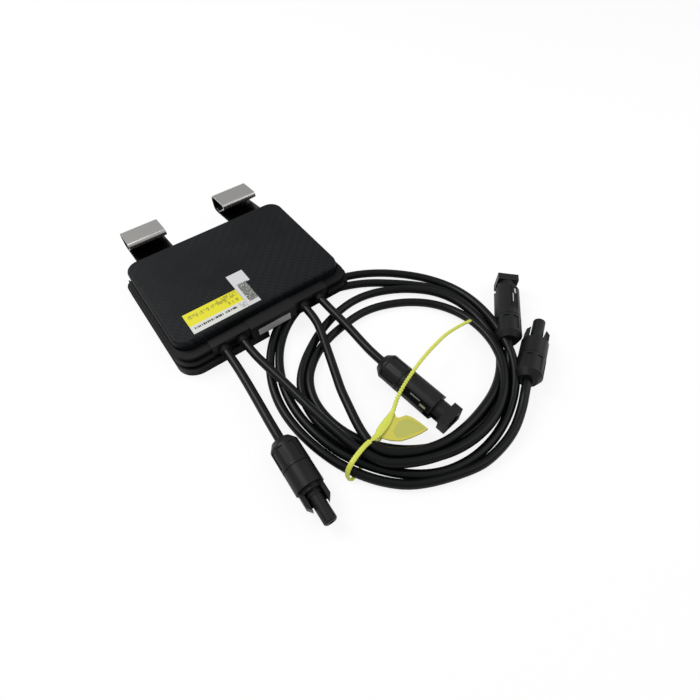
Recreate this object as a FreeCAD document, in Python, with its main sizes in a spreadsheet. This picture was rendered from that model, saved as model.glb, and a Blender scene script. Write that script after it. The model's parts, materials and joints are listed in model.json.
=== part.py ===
import FreeCAD, Part
import math
import os

import Sketcher

from FreeCAD import Placement, Rotation, Vector

# A solar power optimizer: a flat two-shell housing with a converter board inside, two steel spring clips
# at its rear edge, two short leads and two long leads, each ending in a weatherproof connector. The long
# leads are wound into one flat coil that lies in front of the housing, held by a tie.
# Row frame, millimetres: +X along the housing's width, +Y from the leads to the clips, +Z up. The origin
# is under the middle of what stands on the surface, leads, coil and connectors left out.

SIZES = {
    # Tray, the lower shell
    "tray_width": 143.2,
    "tray_front": 72.3,
    "tray_rear": 36.65,
    "tray_corner": 14.0,
    "tray_rear_corner": 9.0,
    "flange_height": 7.0,
    "seat_floor": 8.2,
    "shelf_height": 16.0,
    "wall": 2.2,
    "floor": 2.5,
    "rim_height": 19.2,
    # Ribs round the two front corners of the tray
    "rib_core_inset": 3.8,
    "low_rib_base": 9.0,
    "low_rib_top": 12.4,
    "low_rib_inset": 1.2,
    "top_rib_base": 13.8,
    "top_rib_inset": 3.0,
    "shelf_rear": 26.0,
    # Hollow under the front, where the coil passes below the housing
    "relief_height": 6.6,
    "relief_left": 6.0,
    "relief_back": 49.5,
    "front_floor": 8.8,
    # Cover, the upper shell
    "cover_top": 22.8,
    "cover_inset": 4.7,
    "cover_rear_inset": 1.0,
    "cover_front": 61.3,
    "cover_wall": 2.2,
    "cover_corner": 10.4,
    "cover_edge": 2.6,
    "skirt_bottom": 14.6,
    "channel_floor": 14.2,
    "channel_gap": 0.7,
    "shell_gap": 0.3,
    # Housing screws
    "post_inset": 13.6,
    "post_rear": 7.0,
    "post_front": 41.0,
    "post_radius": 3.6,
    "post_height": 12.0,
    "screw_radius": 1.5,
    "screw_head_radius": 2.8,
    "screw_head_height": 2.0,
    "screw_head_rise": 1.2,
    "screw_tip": 18.0,
    "screw_clearance": 0.05,
    # Connection block in the front of the tray
    "block_width": 94.6,
    "block_centre_width": 36.6,
    "block_centre_front": 72.2,
    "block_side_front": 70.0,
    "block_centre_top": 17.4,
    "block_side_top": 16.9,
    "block_centre_bottom": 7.2,
    "block_apron_depth": 2.1,
    "block_seat_gap": 0.2,
    "block_pocket_depth": 2.6,
    "block_pocket_width": 5.6,
    "block_pocket_low": 9.0,
    "block_pocket_high": 14.4,
    # Leads and their grommets
    "lead_inner_x": 25.55,
    "lead_outer_x": 39.45,
    "lead_level": 10.9,
    "lead_diameter": 6.14,
    "lead_exit": 74.0,
    "core_diameter": 4.0,
    "grommet_collar_radius": 4.3,
    "grommet_collar_length": 1.4,
    "grommet_nose_radius": 4.0,
    "grommet_tip_radius": 3.4,
    "grommet_body_radius": 3.9,
    "grommet_tail_radius": 2.6,
    "grommet_tail_length": 2.0,
    "fit_gap": 0.05,
    # Spring clips and their sockets
    "clip_inset": 31.25,
    "clip_width": 30.4,
    "clip_thickness": 1.0,
    "clip_level": 16.4,
    "clip_inner_end": 14.0,
    "clip_bend_start": 37.6,
    "clip_low_reach": 65.2,
    "clip_low_level": 11.4,
    "clip_outer_end": 70.8,
    "clip_leaf_level": 25.6,
    "clip_lip_y": 47.4,
    "clip_lip_level": 28.2,
    "clip_fold_level": 24.7,
    "clip_tongue_y": 60.5,
    "clip_tongue_level": 14.5,
    "clip_tip_y": 64.0,
    "clip_tip_level": 15.7,
    "clip_bend_radius": 5.6,
    "clip_roll_radius": 1.7,
    "clip_side_gap": 0.25,
    "clip_slot_gap": 0.1,
    "clip_socket_wall": 1.8,
    "clip_socket_side": 2.0,
    # Board and what stands on it
    "board_level": 5.5,
    "board_thickness": 1.6,
    "board_half_width": 53.0,
    "board_front": 45.4,
    "board_rear": 29.4,
    "board_screw_x": 48.5,
    "board_screw_front": 41.5,
    "board_screw_rear": 25.5,
    "board_screw_radius": 1.25,
    "board_screw_head_radius": 2.5,
    "board_screw_head_height": 1.6,
    "board_screw_depth": 2.3,
    "board_post_radius": 3.2,
    "core_width": 34.0,
    "core_depth": 30.0,
    "core_height": 8.0,
    "core_leg": 10.0,
    "core_rim": 5.0,
    "core_left": 46.0,
    "core_front": 38.0,
    "winding_length": 19.6,
    "winding_gap": 0.2,
    "winding_height": 11.6,
    "capacitor_radius": 5.0,
    "capacitor_height": 10.8,
    "capacitor_x": 33.0,
    "capacitor_y": 32.0,
    "capacitor_pitch": 11.5,
    "capacitor_bevel": 0.6,
    "transistor_width": 10.0,
    "transistor_depth": 4.4,
    "transistor_height": 10.6,
    "transistor_pitch": 10.8,
    "transistor_leg": 0.9,
    "transistor_y": 39.0,
    "spreader_x": 14.0,
    "spreader_leg": 2.0,
    "spreader_reach": 22.0,
    "spreader_thickness": 1.3,
    "pad_thickness": 0.5,
    "control_width": 26.0,
    "control_depth": 13.0,
    "control_y": 14.0,
    "control_thickness": 1.2,
    "header_height": 3.0,
    "can_width": 16.0,
    "can_height": 3.0,
    "choke_radius": 7.0,
    "choke_bore": 2.6,
    "choke_height": 6.0,
    "choke_x": 32.0,
    "choke_y": 18.0,
    "lug_width": 6.0,
    "lug_length": 7.0,
    "lug_front": 47.0,
    "lug_foot": 1.4,
    "lug_barrel_radius": 2.9,
    # Labels
    "label_thickness": 0.15,
    "large_label_left": 52.0,
    "large_label_right": 10.4,
    "large_label_front": 57.3,
    "large_label_rear": 37.5,
    "small_label_left": 10.2,
    "small_label_narrow_right": 0.4,
    "small_label_right": 3.0,
    "small_label_front": 57.3,
    "small_label_step": 35.0,
    "small_label_rear": 22.3,
    "front_label_width": 26.2,
    "front_label_low": 7.2,
    "front_label_high": 13.2,
    # Connectors, lengths measured along the axis from the nut's rear
    "nut_radius": 9.2,
    "nut_length": 19.0,
    "nut_rear_radius": 6.4,
    "nut_shoulder": 4.0,
    "nut_bore_radius": 3.25,
    "nut_cavity_radius": 6.9,
    "nut_flat_depth": 0.7,
    "nut_gap": 0.4,
    "spigot_radius": 6.75,
    "spigot_start": 9.0,
    "seal_start": 4.6,
    "seal_length": 4.0,
    "plug_length": 56.0,
    "plug_barrel_radius": 9.1,
    "plug_barrel_end": 33.5,
    "plug_collar_radius": 6.6,
    "plug_collar_end": 36.0,
    "plug_root_radius": 4.5,
    "plug_groove_start": 37.0,
    "plug_nose_radius": 4.2,
    "plug_groove_depth": 0.5,
    "plug_groove_width": 2.0,
    "o_ring_radius": 0.9,
    "wing_end": 46.0,
    "wing_reach": 7.9,
    "wing_thickness": 2.6,
    "wing_height": 6.4,
    "wing_root": 28.0,
    "wing_slant": 3.4,
    "cradle_thickness": 1.0,
    "socket_length": 60.3,
    "socket_barrel_radius": 9.1,
    "socket_barrel_end": 47.0,
    "socket_neck_radius": 6.9,
    "socket_neck_end": 54.0,
    "socket_collar_side": 15.0,
    "socket_collar_height": 14.0,
    "socket_bore_radius": 4.9,
    "socket_bore_start": 31.0,
    "socket_window_length": 9.0,
    "socket_window_height": 5.0,
    "socket_window_end": 52.0,
    "contact_radius": 1.95,
    "contact_bore_radius": 1.3,
    "contact_pin_radius": 1.25,
    "contact_crimp_radius": 2.5,
    "lead_in_nut": 10.0,
    # Coil: the rounded height of one layer and of two, and room round what passes it
    "coil_layer": 6.3,
    "coil_two_layers": 12.4,
    "coil_room": 0.8,
    # Tie
    "tie_width": 3.6,
    "tie_thickness": 1.1,
    "tie_head": 6.4,
    "tie_tag_thickness": 1.0,
}

document = FreeCAD.newDocument("solar_power_optimizer")
sheet = document.addObject("Spreadsheet::Sheet", "dims")
for row, (alias, value) in enumerate(SIZES.items(), start=1):
    sheet.set("A%d" % row, alias)
    sheet.set("B%d" % row, str(value))
    sheet.setAlias("B%d" % row, alias)
document.recompute()


def size(alias):
    """The number in the sheet's cell of that alias."""
    return float(getattr(sheet, alias))


nodes = {}


def node(name, made):
    """Gives a finished object its Label and keeps it as a sub-part."""
    made.Label = name
    nodes[name] = made
    return made


# Part primitives bound to the sheet


def bind(made, **texts):
    """Binds properties to expressions. The sheet's cells are written as dims.alias."""
    for name, text in texts.items():
        made.setExpression(name.replace("_of_", "."), text)


def place(made, x="0", y="0", z="0"):
    made.setExpression("Placement.Base.x", x)
    made.setExpression("Placement.Base.y", y)
    made.setExpression("Placement.Base.z", z)


def box(name, low, high):
    """A box between two corners, each three expressions."""
    made = document.addObject("Part::Box", name)
    for side, start, end in zip(("Length", "Width", "Height"), low, high):
        made.setExpression(side, "(%s) - (%s)" % (end, start))
    place(made, *low)
    return made


def cylinder(name, base, radius, height, axis=Vector(0, 0, 1)):
    made = document.addObject("Part::Cylinder", name)
    made.Placement = Placement(Vector(), Rotation(Vector(0, 0, 1), axis))
    bind(made, Radius=radius, Height=height)
    place(made, *base)
    return made


def cone(name, base, radius_low, radius_high, height, axis=Vector(0, 0, 1)):
    made = document.addObject("Part::Cone", name)
    made.Placement = Placement(Vector(), Rotation(Vector(0, 0, 1), axis))
    bind(made, Radius1=radius_low, Radius2=radius_high, Height=height)
    place(made, *base)
    return made


def fuse(name, *shapes):
    made = document.addObject("Part::MultiFuse", name)
    made.Shapes = list(shapes)
    return made


def cut(name, base, *tools):
    made = document.addObject("Part::Cut", name)
    made.Base = base
    made.Tool = tools[0] if len(tools) == 1 else fuse(name + "_tools", *tools)
    return made


def common(name, base, tool):
    made = document.addObject("Part::Common", name)
    made.Base = base
    made.Tool = tool
    return made


def rounded(name, base, radius, wanted):
    """A Part::Fillet on the edges that wanted picks, of a radius held in the sheet."""
    document.recompute()
    made = document.addObject("Part::Fillet", name)
    made.Base = base
    picked = [number for number, edge in enumerate(base.Shape.Edges, start=1) if wanted(edge)]
    made.Edges = [(number, radius, radius) for number in picked]
    document.recompute()
    return made


def upright(edge):
    """True for a straight edge along Z."""
    ends = edge.Vertexes
    if len(ends) != 2:
        return False
    step = ends[1].Point - ends[0].Point
    return abs(step.x) + abs(step.y) < 1e-6


def rounded_box(name, low, high, radius, rear_radius=None):
    """A box with its four upright edges rounded, the two at the rear by a radius of their own if that is given."""
    block = box(name + "_block", low, high)
    if rear_radius is None:
        return rounded(name, block, radius, upright)
    document.recompute()
    middle = block.Shape.BoundBox.Center.y
    front = rounded(name + "_front", block, radius, lambda edge: upright(edge) and edge.CenterOfMass.y < middle)
    return rounded(name, front, rear_radius, lambda edge: upright(edge) and edge.CenterOfMass.y > middle)


def at_height(level):
    """A test for edges that lie wholly at that height."""
    return lambda edge: all(abs(vertex.Z - level) < 1e-6 for vertex in edge.Vertexes)


def feature(name, shape, placement=None):
    """A Part::Feature for a shape that Part's own functions make from the sheet's sizes."""
    made = document.addObject("Part::Feature", name)
    made.Shape = shape
    if placement is not None:
        made.Placement = placement
    return made


# PartDesign bodies


def sketch_on(body, name, plane):
    """A sketch attached to one of its own body's origin planes."""
    made = body.newObject("Sketcher::SketchObject", name)
    origin = [item for item in body.Origin.OriginFeatures if item.Role == plane][0]
    made.AttachmentSupport = [(origin, "")]
    made.MapMode = "FlatFace"
    return made


def draw_polygon(sketch, corners):
    """Closed straight outline. Each corner is a pair of expressions with the numbers they come to."""
    count = len(corners)
    points = [Vector(x_now, y_now, 0) for (_, x_now), (_, y_now) in corners]
    for index in range(count):
        sketch.addGeometry(Part.LineSegment(points[index], points[(index + 1) % count]), False)
    for index in range(count):
        sketch.addConstraint(Sketcher.Constraint("Coincident", index, 2, (index + 1) % count, 1))
    for index, ((x_text, x_now), (y_text, y_now)) in enumerate(corners):
        for kind, text, now in (("DistanceX", x_text, x_now), ("DistanceY", y_text, y_now)):
            number = sketch.addConstraint(Sketcher.Constraint(kind, -1, 1, index, 1, now))
            sketch.setExpression("Constraints[%d]" % number, text)


def corner(x_alias, y_alias, x_sign=1, y_sign=1):
    """A sketch corner at two cells of the sheet."""
    x_text = "%d * dims.%s" % (x_sign, x_alias)
    y_text = "%d * dims.%s" % (y_sign, y_alias)
    return (x_text, x_sign * size(x_alias)), (y_text, y_sign * size(y_alias))


def extruded(name, corners, level, thickness):
    """A flat piece: an outline on the XY plane, padded upwards from a level."""
    body = document.addObject("PartDesign::Body", name)
    outline = sketch_on(body, name + "_outline", "XY_Plane")
    draw_polygon(outline, corners)
    pad = body.newObject("PartDesign::Pad", name + "_pad")
    pad.Profile = outline
    pad.setExpression("Length", thickness)
    outline.Visibility = False
    body.setExpression("Placement.Base.z", level)
    return body


def turned(name, profile):
    """A body of revolution about its own Z axis. The profile's corners are (radius, height)."""
    body = document.addObject("PartDesign::Body", name)
    outline = sketch_on(body, name + "_profile", "XZ_Plane")
    draw_polygon(outline, profile)
    turn = body.newObject("PartDesign::Revolution", name + "_turn")
    turn.Profile = outline
    turn.ReferenceAxis = (outline, ["V_Axis"])
    turn.Angle = 360.0
    outline.Visibility = False
    return body


HALF = "dims.tray_width / 2"
CLIP_X = "(dims.tray_width / 2 - dims.clip_inset)"
POST_X = "(dims.tray_width / 2 - dims.post_inset)"
COVER_REAR = "(dims.tray_rear - dims.cover_rear_inset)"
TUB_HALF = "(dims.tray_width / 2 - dims.cover_inset - dims.cover_wall - dims.shell_gap)"
CHANNEL_FRONT = "(dims.cover_front + dims.channel_gap)"
TUB_FRONT = "(dims.cover_front - dims.cover_wall - dims.shell_gap)"
TUB_REAR = "(dims.tray_rear - dims.cover_rear_inset - dims.cover_wall - dims.shell_gap)"
CEILING = "(dims.cover_top - dims.cover_wall)"
BOARD_TOP = "(dims.board_level + dims.board_thickness)"
tub_corner = size("cover_corner") - size("cover_wall") - size("shell_gap")
BEYOND = 2.0
SIDES = ((-1, "left"), (1, "right"))
GLANDS = (
    ("outer_left", "-dims.lead_outer_x"),
    ("inner_left", "-dims.lead_inner_x"),
    ("inner_right", "dims.lead_inner_x"),
    ("outer_right", "dims.lead_outer_x"),
)
POSTS = [(side + POST_X, row) for side in ("-", "") for row in ("-dims.post_front", "dims.post_rear")]
BOARD_POSTS = [
    (side, row)
    for side in ("-dims.board_screw_x", "dims.board_screw_x")
    for row in ("-dims.board_screw_front", "dims.board_screw_rear")
]
BACKWARD = Vector(0, 1, 0)
FORWARD = Vector(0, -1, 0)


def clip_slot(name, sign, front, rear, extra):
    """The flat slot that a clip's strip lies in, wider than the strip by its gaps and by extra."""
    middle = "%d * %s" % (sign, CLIP_X)
    half = "dims.clip_width / 2 + dims.clip_side_gap + %g" % extra
    tall = "dims.clip_thickness / 2 + dims.clip_slot_gap + %g" % extra
    return box(
        name,
        ("%s - (%s)" % (middle, half), front, "dims.clip_level - (%s)" % tall),
        ("%s + (%s)" % (middle, half), rear, "dims.clip_level + (%s)" % tall),
    )


# Tray: a flat ledge all round, a tub that stands on it inside the cover, and a shelf in front with ribbed corners


def tier(name, inset, low, high):
    """One step of the tray, inset all round from its outline by a size, or by nothing."""
    reach = "dims." + inset if inset else "0"
    step = size(inset) if inset else 0.0
    return rounded_box(
        name,
        ("-%s + %s" % (HALF, reach), "-dims.tray_front + %s" % reach, low),
        ("%s - %s" % (HALF, reach), "dims.tray_rear - %s" % reach, high),
        size("tray_corner") - step,
        size("tray_rear_corner") - step,
    )


ledge = tier("ledge", "", "0", "dims.flange_height")
shelf_tiers = fuse(
    "shelf_tiers",
    tier("shelf_core", "rib_core_inset", "0", "dims.shelf_height"),
    tier("low_rib", "low_rib_inset", "dims.low_rib_base", "dims.low_rib_top"),
    tier("top_rib", "top_rib_inset", "dims.top_rib_base", "dims.shelf_height"),
)
shelf_space = box(
    "shelf_space",
    ("-" + HALF, "-dims.tray_front", "0"),
    (HALF, "dims.shelf_rear", "dims.shelf_height"),
)
channel = rounded_box(
    "channel",
    ("-%s + dims.cover_inset - dims.channel_gap" % HALF, "-" + CHANNEL_FRONT, "dims.channel_floor"),
    (
        "%s - dims.cover_inset + dims.channel_gap" % HALF,
        COVER_REAR + " + dims.channel_gap",
        "dims.shelf_height + %g" % BEYOND,
    ),
    size("cover_corner") + size("channel_gap"),
)
shelf = cut("shelf", common("shelf_whole", shelf_tiers, shelf_space), channel)
tub = rounded_box(
    "tub",
    ("-" + TUB_HALF, "-" + TUB_FRONT, "0"),
    (TUB_HALF, TUB_REAR, "dims.rim_height"),
    tub_corner,
)
cavity_rise = rounded_box(
    "cavity_rise",
    ("-%s + dims.wall" % TUB_HALF, "-%s + dims.wall" % TUB_FRONT, "dims.front_floor"),
    ("%s - dims.wall" % TUB_HALF, "%s - dims.wall" % TUB_REAR, "dims.rim_height + %g" % BEYOND),
    tub_corner - size("wall"),
)
cavity_deep = rounded_box(
    "cavity_deep",
    ("-%s + dims.wall" % TUB_HALF, "-dims.relief_back + dims.wall", "dims.floor"),
    ("%s - dims.wall" % TUB_HALF, "%s - dims.wall" % TUB_REAR, "dims.rim_height + %g" % BEYOND),
    tub_corner - size("wall"),
)
relief = box(
    "relief",
    ("-dims.relief_left", "-dims.tray_front - %g" % BEYOND, "-%g" % BEYOND),
    ("%s + %g" % (HALF, BEYOND), "-dims.relief_back", "dims.relief_height"),
)
underside_pocket = box(
    "underside_pocket",
    ("-%s + dims.tray_corner / 2" % HALF, "-dims.tray_front + dims.tray_corner / 2", "-%g" % BEYOND),
    ("-dims.relief_left - dims.wall", "-dims.relief_back", "dims.flange_height - dims.wall"),
)
block_seat = box(
    "block_seat",
    ("-dims.block_width / 2 - dims.block_seat_gap", "-dims.tray_front - %g" % BEYOND, "dims.seat_floor"),
    ("dims.block_width / 2 + dims.block_seat_gap", "-" + CHANNEL_FRONT, "dims.shelf_height + %g" % BEYOND),
)
APRON_REAR = "(dims.block_centre_front - dims.block_apron_depth)"
apron_notch = box(
    "apron_notch",
    (
        "-dims.block_centre_width / 2 - dims.block_seat_gap",
        "-dims.tray_front - %g" % BEYOND,
        "dims.block_centre_bottom - dims.block_seat_gap",
    ),
    (
        "dims.block_centre_width / 2 + dims.block_seat_gap",
        "-%s + dims.block_seat_gap" % APRON_REAR,
        "dims.shelf_height",
    ),
)
solid_parts = [ledge, shelf, tub]
for x_text, y_text in POSTS:
    solid_parts.append(cylinder("tray_post", (x_text, y_text, "0"), "dims.post_radius", "dims.post_height"))
for x_text, y_text in BOARD_POSTS:
    solid_parts.append(cylinder("board_post", (x_text, y_text, "0"), "dims.board_post_radius", "dims.board_level"))
socket_parts = []
slot_tools = []
for sign, word in SIDES:
    half = "(dims.clip_width / 2 + dims.clip_side_gap + dims.clip_socket_side)"
    tall = "(dims.clip_thickness / 2 + dims.clip_slot_gap + dims.clip_socket_wall)"
    socket_parts.append(
        box(
            "clip_socket_" + word,
            (
                "%d * %s - %s" % (sign, CLIP_X, half),
                "dims.clip_inner_end - dims.clip_socket_wall",
                "dims.clip_level - " + tall,
            ),
            (
                "%d * %s + %s" % (sign, CLIP_X, half),
                TUB_REAR + " - dims.wall / 2",
                "dims.clip_level + " + tall,
            ),
        )
    )
    slot_tools.append(
        clip_slot(
            "clip_slot_" + word,
            sign,
            "dims.clip_inner_end - dims.clip_thickness / 2 - dims.clip_slot_gap",
            TUB_REAR + " + %g" % BEYOND,
            0,
        )
    )
gland_tools = []
for word, x_text in GLANDS:
    gland_tools.append(
        cylinder(
            "wire_hole_" + word,
            (x_text, "-%s - %g" % (CHANNEL_FRONT, BEYOND), "dims.lead_level"),
            "dims.grommet_tail_radius + dims.fit_gap",
            "%s - %s + dims.wall + 2 * %g" % (CHANNEL_FRONT, TUB_FRONT, BEYOND),
            BACKWARD,
        )
    )
    gland_tools.append(
        cylinder(
            "gland_room_" + word,
            (x_text, "-dims.tray_front - %g" % BEYOND, "dims.lead_level"),
            "dims.grommet_collar_radius + 2 * dims.fit_gap",
            "dims.tray_front - %s + %g" % (CHANNEL_FRONT, BEYOND),
            BACKWARD,
        )
    )
post_tools = []
for x_text, y_text in POSTS:
    post_tools.append(
        cylinder(
            "post_hole",
            (x_text, y_text, "-%g" % BEYOND),
            "dims.screw_radius + dims.screw_clearance",
            "dims.post_height + 2 * %g" % BEYOND,
        )
    )
    post_tools.append(
        cylinder(
            "post_counterbore",
            (x_text, y_text, "-%g" % BEYOND),
            "dims.screw_head_radius + dims.shell_gap",
            "dims.screw_head_rise + dims.screw_head_height + %g" % BEYOND,
        )
    )
for x_text, y_text in BOARD_POSTS:
    post_tools.append(
        cylinder(
            "board_post_hole",
            (x_text, y_text, "dims.board_level - dims.board_screw_depth"),
            "dims.board_screw_radius + dims.screw_clearance",
            "dims.board_screw_depth + %g" % BEYOND,
        )
    )
hollow = cut("tray_hollow", fuse("tray_solid", *solid_parts[:3]), cavity_rise, cavity_deep)
tray_filled = fuse("tray_filled", hollow, *(solid_parts[3:] + socket_parts))
tray = cut(
    "tray_cut",
    tray_filled,
    relief,
    underside_pocket,
    block_seat,
    apron_notch,
    *(slot_tools + gland_tools + post_tools)
)
node("base_tray", tray)

# Cover: a hood whose side and rear skirts reach down to the tray's ledge, and whose front skirt stops in the channel
cover_block = rounded_box(
    "cover_block",
    ("-%s + dims.cover_inset" % HALF, "-dims.cover_front", "dims.flange_height + dims.shell_gap"),
    ("%s - dims.cover_inset" % HALF, COVER_REAR, "dims.cover_top"),
    size("cover_corner"),
)
cover_outside = rounded("cover_outside", cover_block, size("cover_edge"), at_height(size("cover_top")))
cover_hollow = rounded_box(
    "cover_hollow",
    ("-%s + dims.cover_inset + dims.cover_wall" % HALF, "-dims.cover_front + dims.cover_wall", "0"),
    ("%s - dims.cover_inset - dims.cover_wall" % HALF, COVER_REAR + " - dims.cover_wall", CEILING),
    size("cover_corner") - size("cover_wall"),
)
front_trim = box(
    "front_trim",
    ("-%s - %g" % (HALF, BEYOND), "-dims.cover_front - %g" % BEYOND, "0"),
    ("%s + %g" % (HALF, BEYOND), "dims.shelf_rear + dims.channel_gap", "dims.skirt_bottom"),
)
cover_slots = [
    clip_slot("cover_slot_" + word, sign, TUB_REAR, "dims.tray_rear + %g" % BEYOND, 0.3)
    for sign, word in SIDES
]
cover_posts = []
cover_holes = []
for x_text, y_text in POSTS:
    cover_posts.append(
        cylinder(
            "cover_post",
            (x_text, y_text, "dims.post_height + dims.shell_gap"),
            "dims.post_radius",
            "%s - dims.post_height - dims.shell_gap + dims.cover_wall / 2" % CEILING,
        )
    )
    cover_holes.append(
        cylinder(
            "cover_post_hole",
            (x_text, y_text, "dims.post_height - %g" % BEYOND),
            "dims.screw_radius + dims.screw_clearance",
            "dims.screw_tip - dims.post_height + dims.shell_gap + %g" % BEYOND,
        )
    )
cover_shell = cut("cover_shell", cover_outside, cover_hollow, front_trim, *cover_slots)
node("cover", cut("cover_cut", fuse("cover_with_posts", cover_shell, *cover_posts), *cover_holes))

# Gasket on the tub's rim
gasket_outer = rounded_box(
    "gasket_outer",
    ("-%s + dims.shell_gap" % TUB_HALF, "-%s + dims.shell_gap" % TUB_FRONT, "dims.rim_height"),
    ("%s - dims.shell_gap" % TUB_HALF, "%s - dims.shell_gap" % TUB_REAR, CEILING),
    tub_corner - size("shell_gap"),
)
gasket_inner = rounded_box(
    "gasket_inner",
    ("-%s + dims.wall - dims.shell_gap" % TUB_HALF, "-%s + dims.wall - dims.shell_gap" % TUB_FRONT, "0"),
    ("%s - dims.wall + dims.shell_gap" % TUB_HALF, "%s - dims.wall + dims.shell_gap" % TUB_REAR, "dims.cover_top"),
    tub_corner - size("wall") + size("shell_gap"),
)
node("cover_gasket", cut("gasket_ring", gasket_outer, gasket_inner))

# Housing screws, put in from below
screws = []
for x_text, y_text in POSTS:
    shank = cylinder(
        "screw_shank",
        (x_text, y_text, "dims.screw_head_rise"),
        "dims.screw_radius",
        "dims.screw_tip - dims.screw_head_rise",
    )
    foot = (x_text, y_text, "dims.screw_head_rise")
    head = cylinder("screw_head", foot, "dims.screw_head_radius", "dims.screw_head_height")
    drive = cylinder("screw_drive", foot, "dims.screw_radius * 0.7", "dims.screw_head_height * 0.6")
    screws.append(cut("housing_screw", fuse("screw_solid", shank, head), drive))
node("housing_screws", fuse("screw_group", *screws))

# Connection block
block_sides = box(
    "block_sides",
    ("-dims.block_width / 2", "-dims.block_side_front", "dims.seat_floor"),
    ("dims.block_width / 2", "-%s - dims.block_seat_gap" % CHANNEL_FRONT, "dims.block_side_top"),
)
block_centre = box(
    "block_centre",
    ("-dims.block_centre_width / 2", "-dims.block_centre_front", "dims.seat_floor"),
    ("dims.block_centre_width / 2", "-%s - dims.block_seat_gap" % CHANNEL_FRONT, "dims.block_centre_top"),
)
block_apron = box(
    "block_apron",
    ("-dims.block_centre_width / 2", "-dims.block_centre_front", "dims.block_centre_bottom"),
    ("dims.block_centre_width / 2", "-" + APRON_REAR, "dims.block_centre_top"),
)
block_tools = []
for sign, word in SIDES:
    pocket_middle = "%d * (dims.lead_inner_x + dims.lead_outer_x) / 2" % sign
    block_tools.append(
        box(
            "block_pocket_" + word,
            (
                pocket_middle + " - dims.block_pocket_width / 2",
                "-dims.block_side_front - %g" % BEYOND,
                "dims.block_pocket_low",
            ),
            (
                pocket_middle + " + dims.block_pocket_width / 2",
                "-dims.block_side_front + dims.block_pocket_depth",
                "dims.block_pocket_high",
            ),
        )
    )
for word, x_text in GLANDS:
    block_tools.append(
        cylinder(
            "block_bore_" + word,
            (x_text, "-dims.block_side_front - %g" % BEYOND, "dims.lead_level"),
            "dims.grommet_body_radius + dims.fit_gap",
            "dims.block_side_front - %s + 2 * %g" % (CHANNEL_FRONT, BEYOND),
            BACKWARD,
        )
    )
block_solid = fuse("block_solid", block_sides, block_centre, block_apron)
node("connection_block", cut("block_cut", block_solid, *block_tools))


# Grommets, turned about the lead's axis, and the stripped cores that pass through them


def grommet(name, x_text):
    """A rubber grommet: tail in the tray's wall, body in the block, collar and tapered nose in front."""
    bore = ("dims.core_diameter / 2 + dims.fit_gap", size("core_diameter") / 2 + size("fit_gap"))
    back = size("block_side_front") - size("cover_front") - size("channel_gap")
    levels = {
        "tail": (
            CHANNEL_FRONT + " - dims.block_side_front - dims.grommet_tail_length",
            -back - size("grommet_tail_length"),
        ),
        "body": (
            CHANNEL_FRONT + " + dims.block_seat_gap - dims.block_side_front",
            -back + size("block_seat_gap"),
        ),
        "face": ("0", 0.0),
        "collar": ("dims.grommet_collar_length", size("grommet_collar_length")),
        "tip": ("dims.lead_exit - dims.block_side_front", size("lead_exit") - size("block_side_front")),
    }
    radii = {
        part: ("dims.grommet_%s_radius" % part, size("grommet_%s_radius" % part))
        for part in ("tail", "body", "collar", "nose", "tip")
    }
    profile = [
        (bore, levels["tail"]),
        (radii["tail"], levels["tail"]),
        (radii["tail"], levels["body"]),
        (radii["body"], levels["body"]),
        (radii["body"], levels["face"]),
        (radii["collar"], levels["face"]),
        (radii["collar"], levels["collar"]),
        (radii["nose"], levels["collar"]),
        (radii["tip"], levels["tip"]),
        (bore, levels["tip"]),
    ]
    body = turned(name, profile)
    body.Placement = Placement(Vector(), Rotation(Vector(0, 0, 1), FORWARD))
    place(body, x_text, "-dims.block_side_front", "dims.lead_level")
    return node(name, body)


cores = []
lugs = []
for word, x_text in GLANDS:
    grommet("cable_grommet_" + word, x_text)
    core_start = "-dims.lead_exit"
    core_length = "dims.lead_exit - dims.lug_front + dims.lug_length / 2"
    core_base = (x_text, core_start, "dims.lead_level")
    cores.append(cylinder("core_" + word, core_base, "dims.core_diameter / 2", core_length, BACKWARD))
    foot = box(
        "lug_foot_" + word,
        (x_text + " - dims.lug_width / 2", "-dims.board_front + 0.2", BOARD_TOP),
        (x_text + " + dims.lug_width / 2", "-dims.lug_front + dims.lug_length", BOARD_TOP + " + dims.lug_foot"),
    )
    barrel = cylinder(
        "lug_barrel_" + word,
        (x_text, "-dims.lug_front", "dims.lead_level"),
        "dims.lug_barrel_radius",
        "dims.lug_length",
        BACKWARD,
    )
    lug_bore = cylinder(
        "lug_bore_" + word,
        (x_text, "-dims.lug_front - %g" % BEYOND, "dims.lead_level"),
        "dims.core_diameter / 2 + dims.fit_gap",
        "dims.lug_length / 2 + %g" % BEYOND,
        BACKWARD,
    )
    lugs.append(cut("lug_" + word, fuse("lug_solid_" + word, foot, barrel), lug_bore))
node("lead_cores", fuse("core_group", *cores))
node("terminal_lugs", fuse("lug_group", *lugs))

# Board and board screws
board_corners = [
    corner("board_half_width", "board_front", -1, -1),
    corner("board_half_width", "board_front", 1, -1),
    corner("board_half_width", "board_rear", 1, 1),
    corner("board_half_width", "board_rear", -1, 1),
]
board_plate = extruded("board_plate", board_corners, "dims.board_level", "dims.board_thickness")
board_holes = [
    cylinder(
        "board_hole",
        (x_text, y_text, "dims.board_level - %g" % BEYOND),
        "dims.board_screw_radius + dims.shell_gap",
        "dims.board_thickness + 2 * %g" % BEYOND,
    )
    for x_text, y_text in BOARD_POSTS
]
node("circuit_board", cut("board_cut", board_plate, *board_holes))
board_screws = []
for x_text, y_text in BOARD_POSTS:
    shank = cylinder(
        "board_screw_shank",
        (x_text, y_text, "dims.board_level - dims.board_screw_depth"),
        "dims.board_screw_radius",
        "dims.board_screw_depth + dims.board_thickness",
    )
    head = cylinder(
        "board_screw_head", (x_text, y_text, BOARD_TOP), "dims.board_screw_head_radius", "dims.board_screw_head_height"
    )
    board_screws.append(fuse("board_screw", shank, head))
node("board_screws", fuse("board_screw_group", *board_screws))

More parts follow.
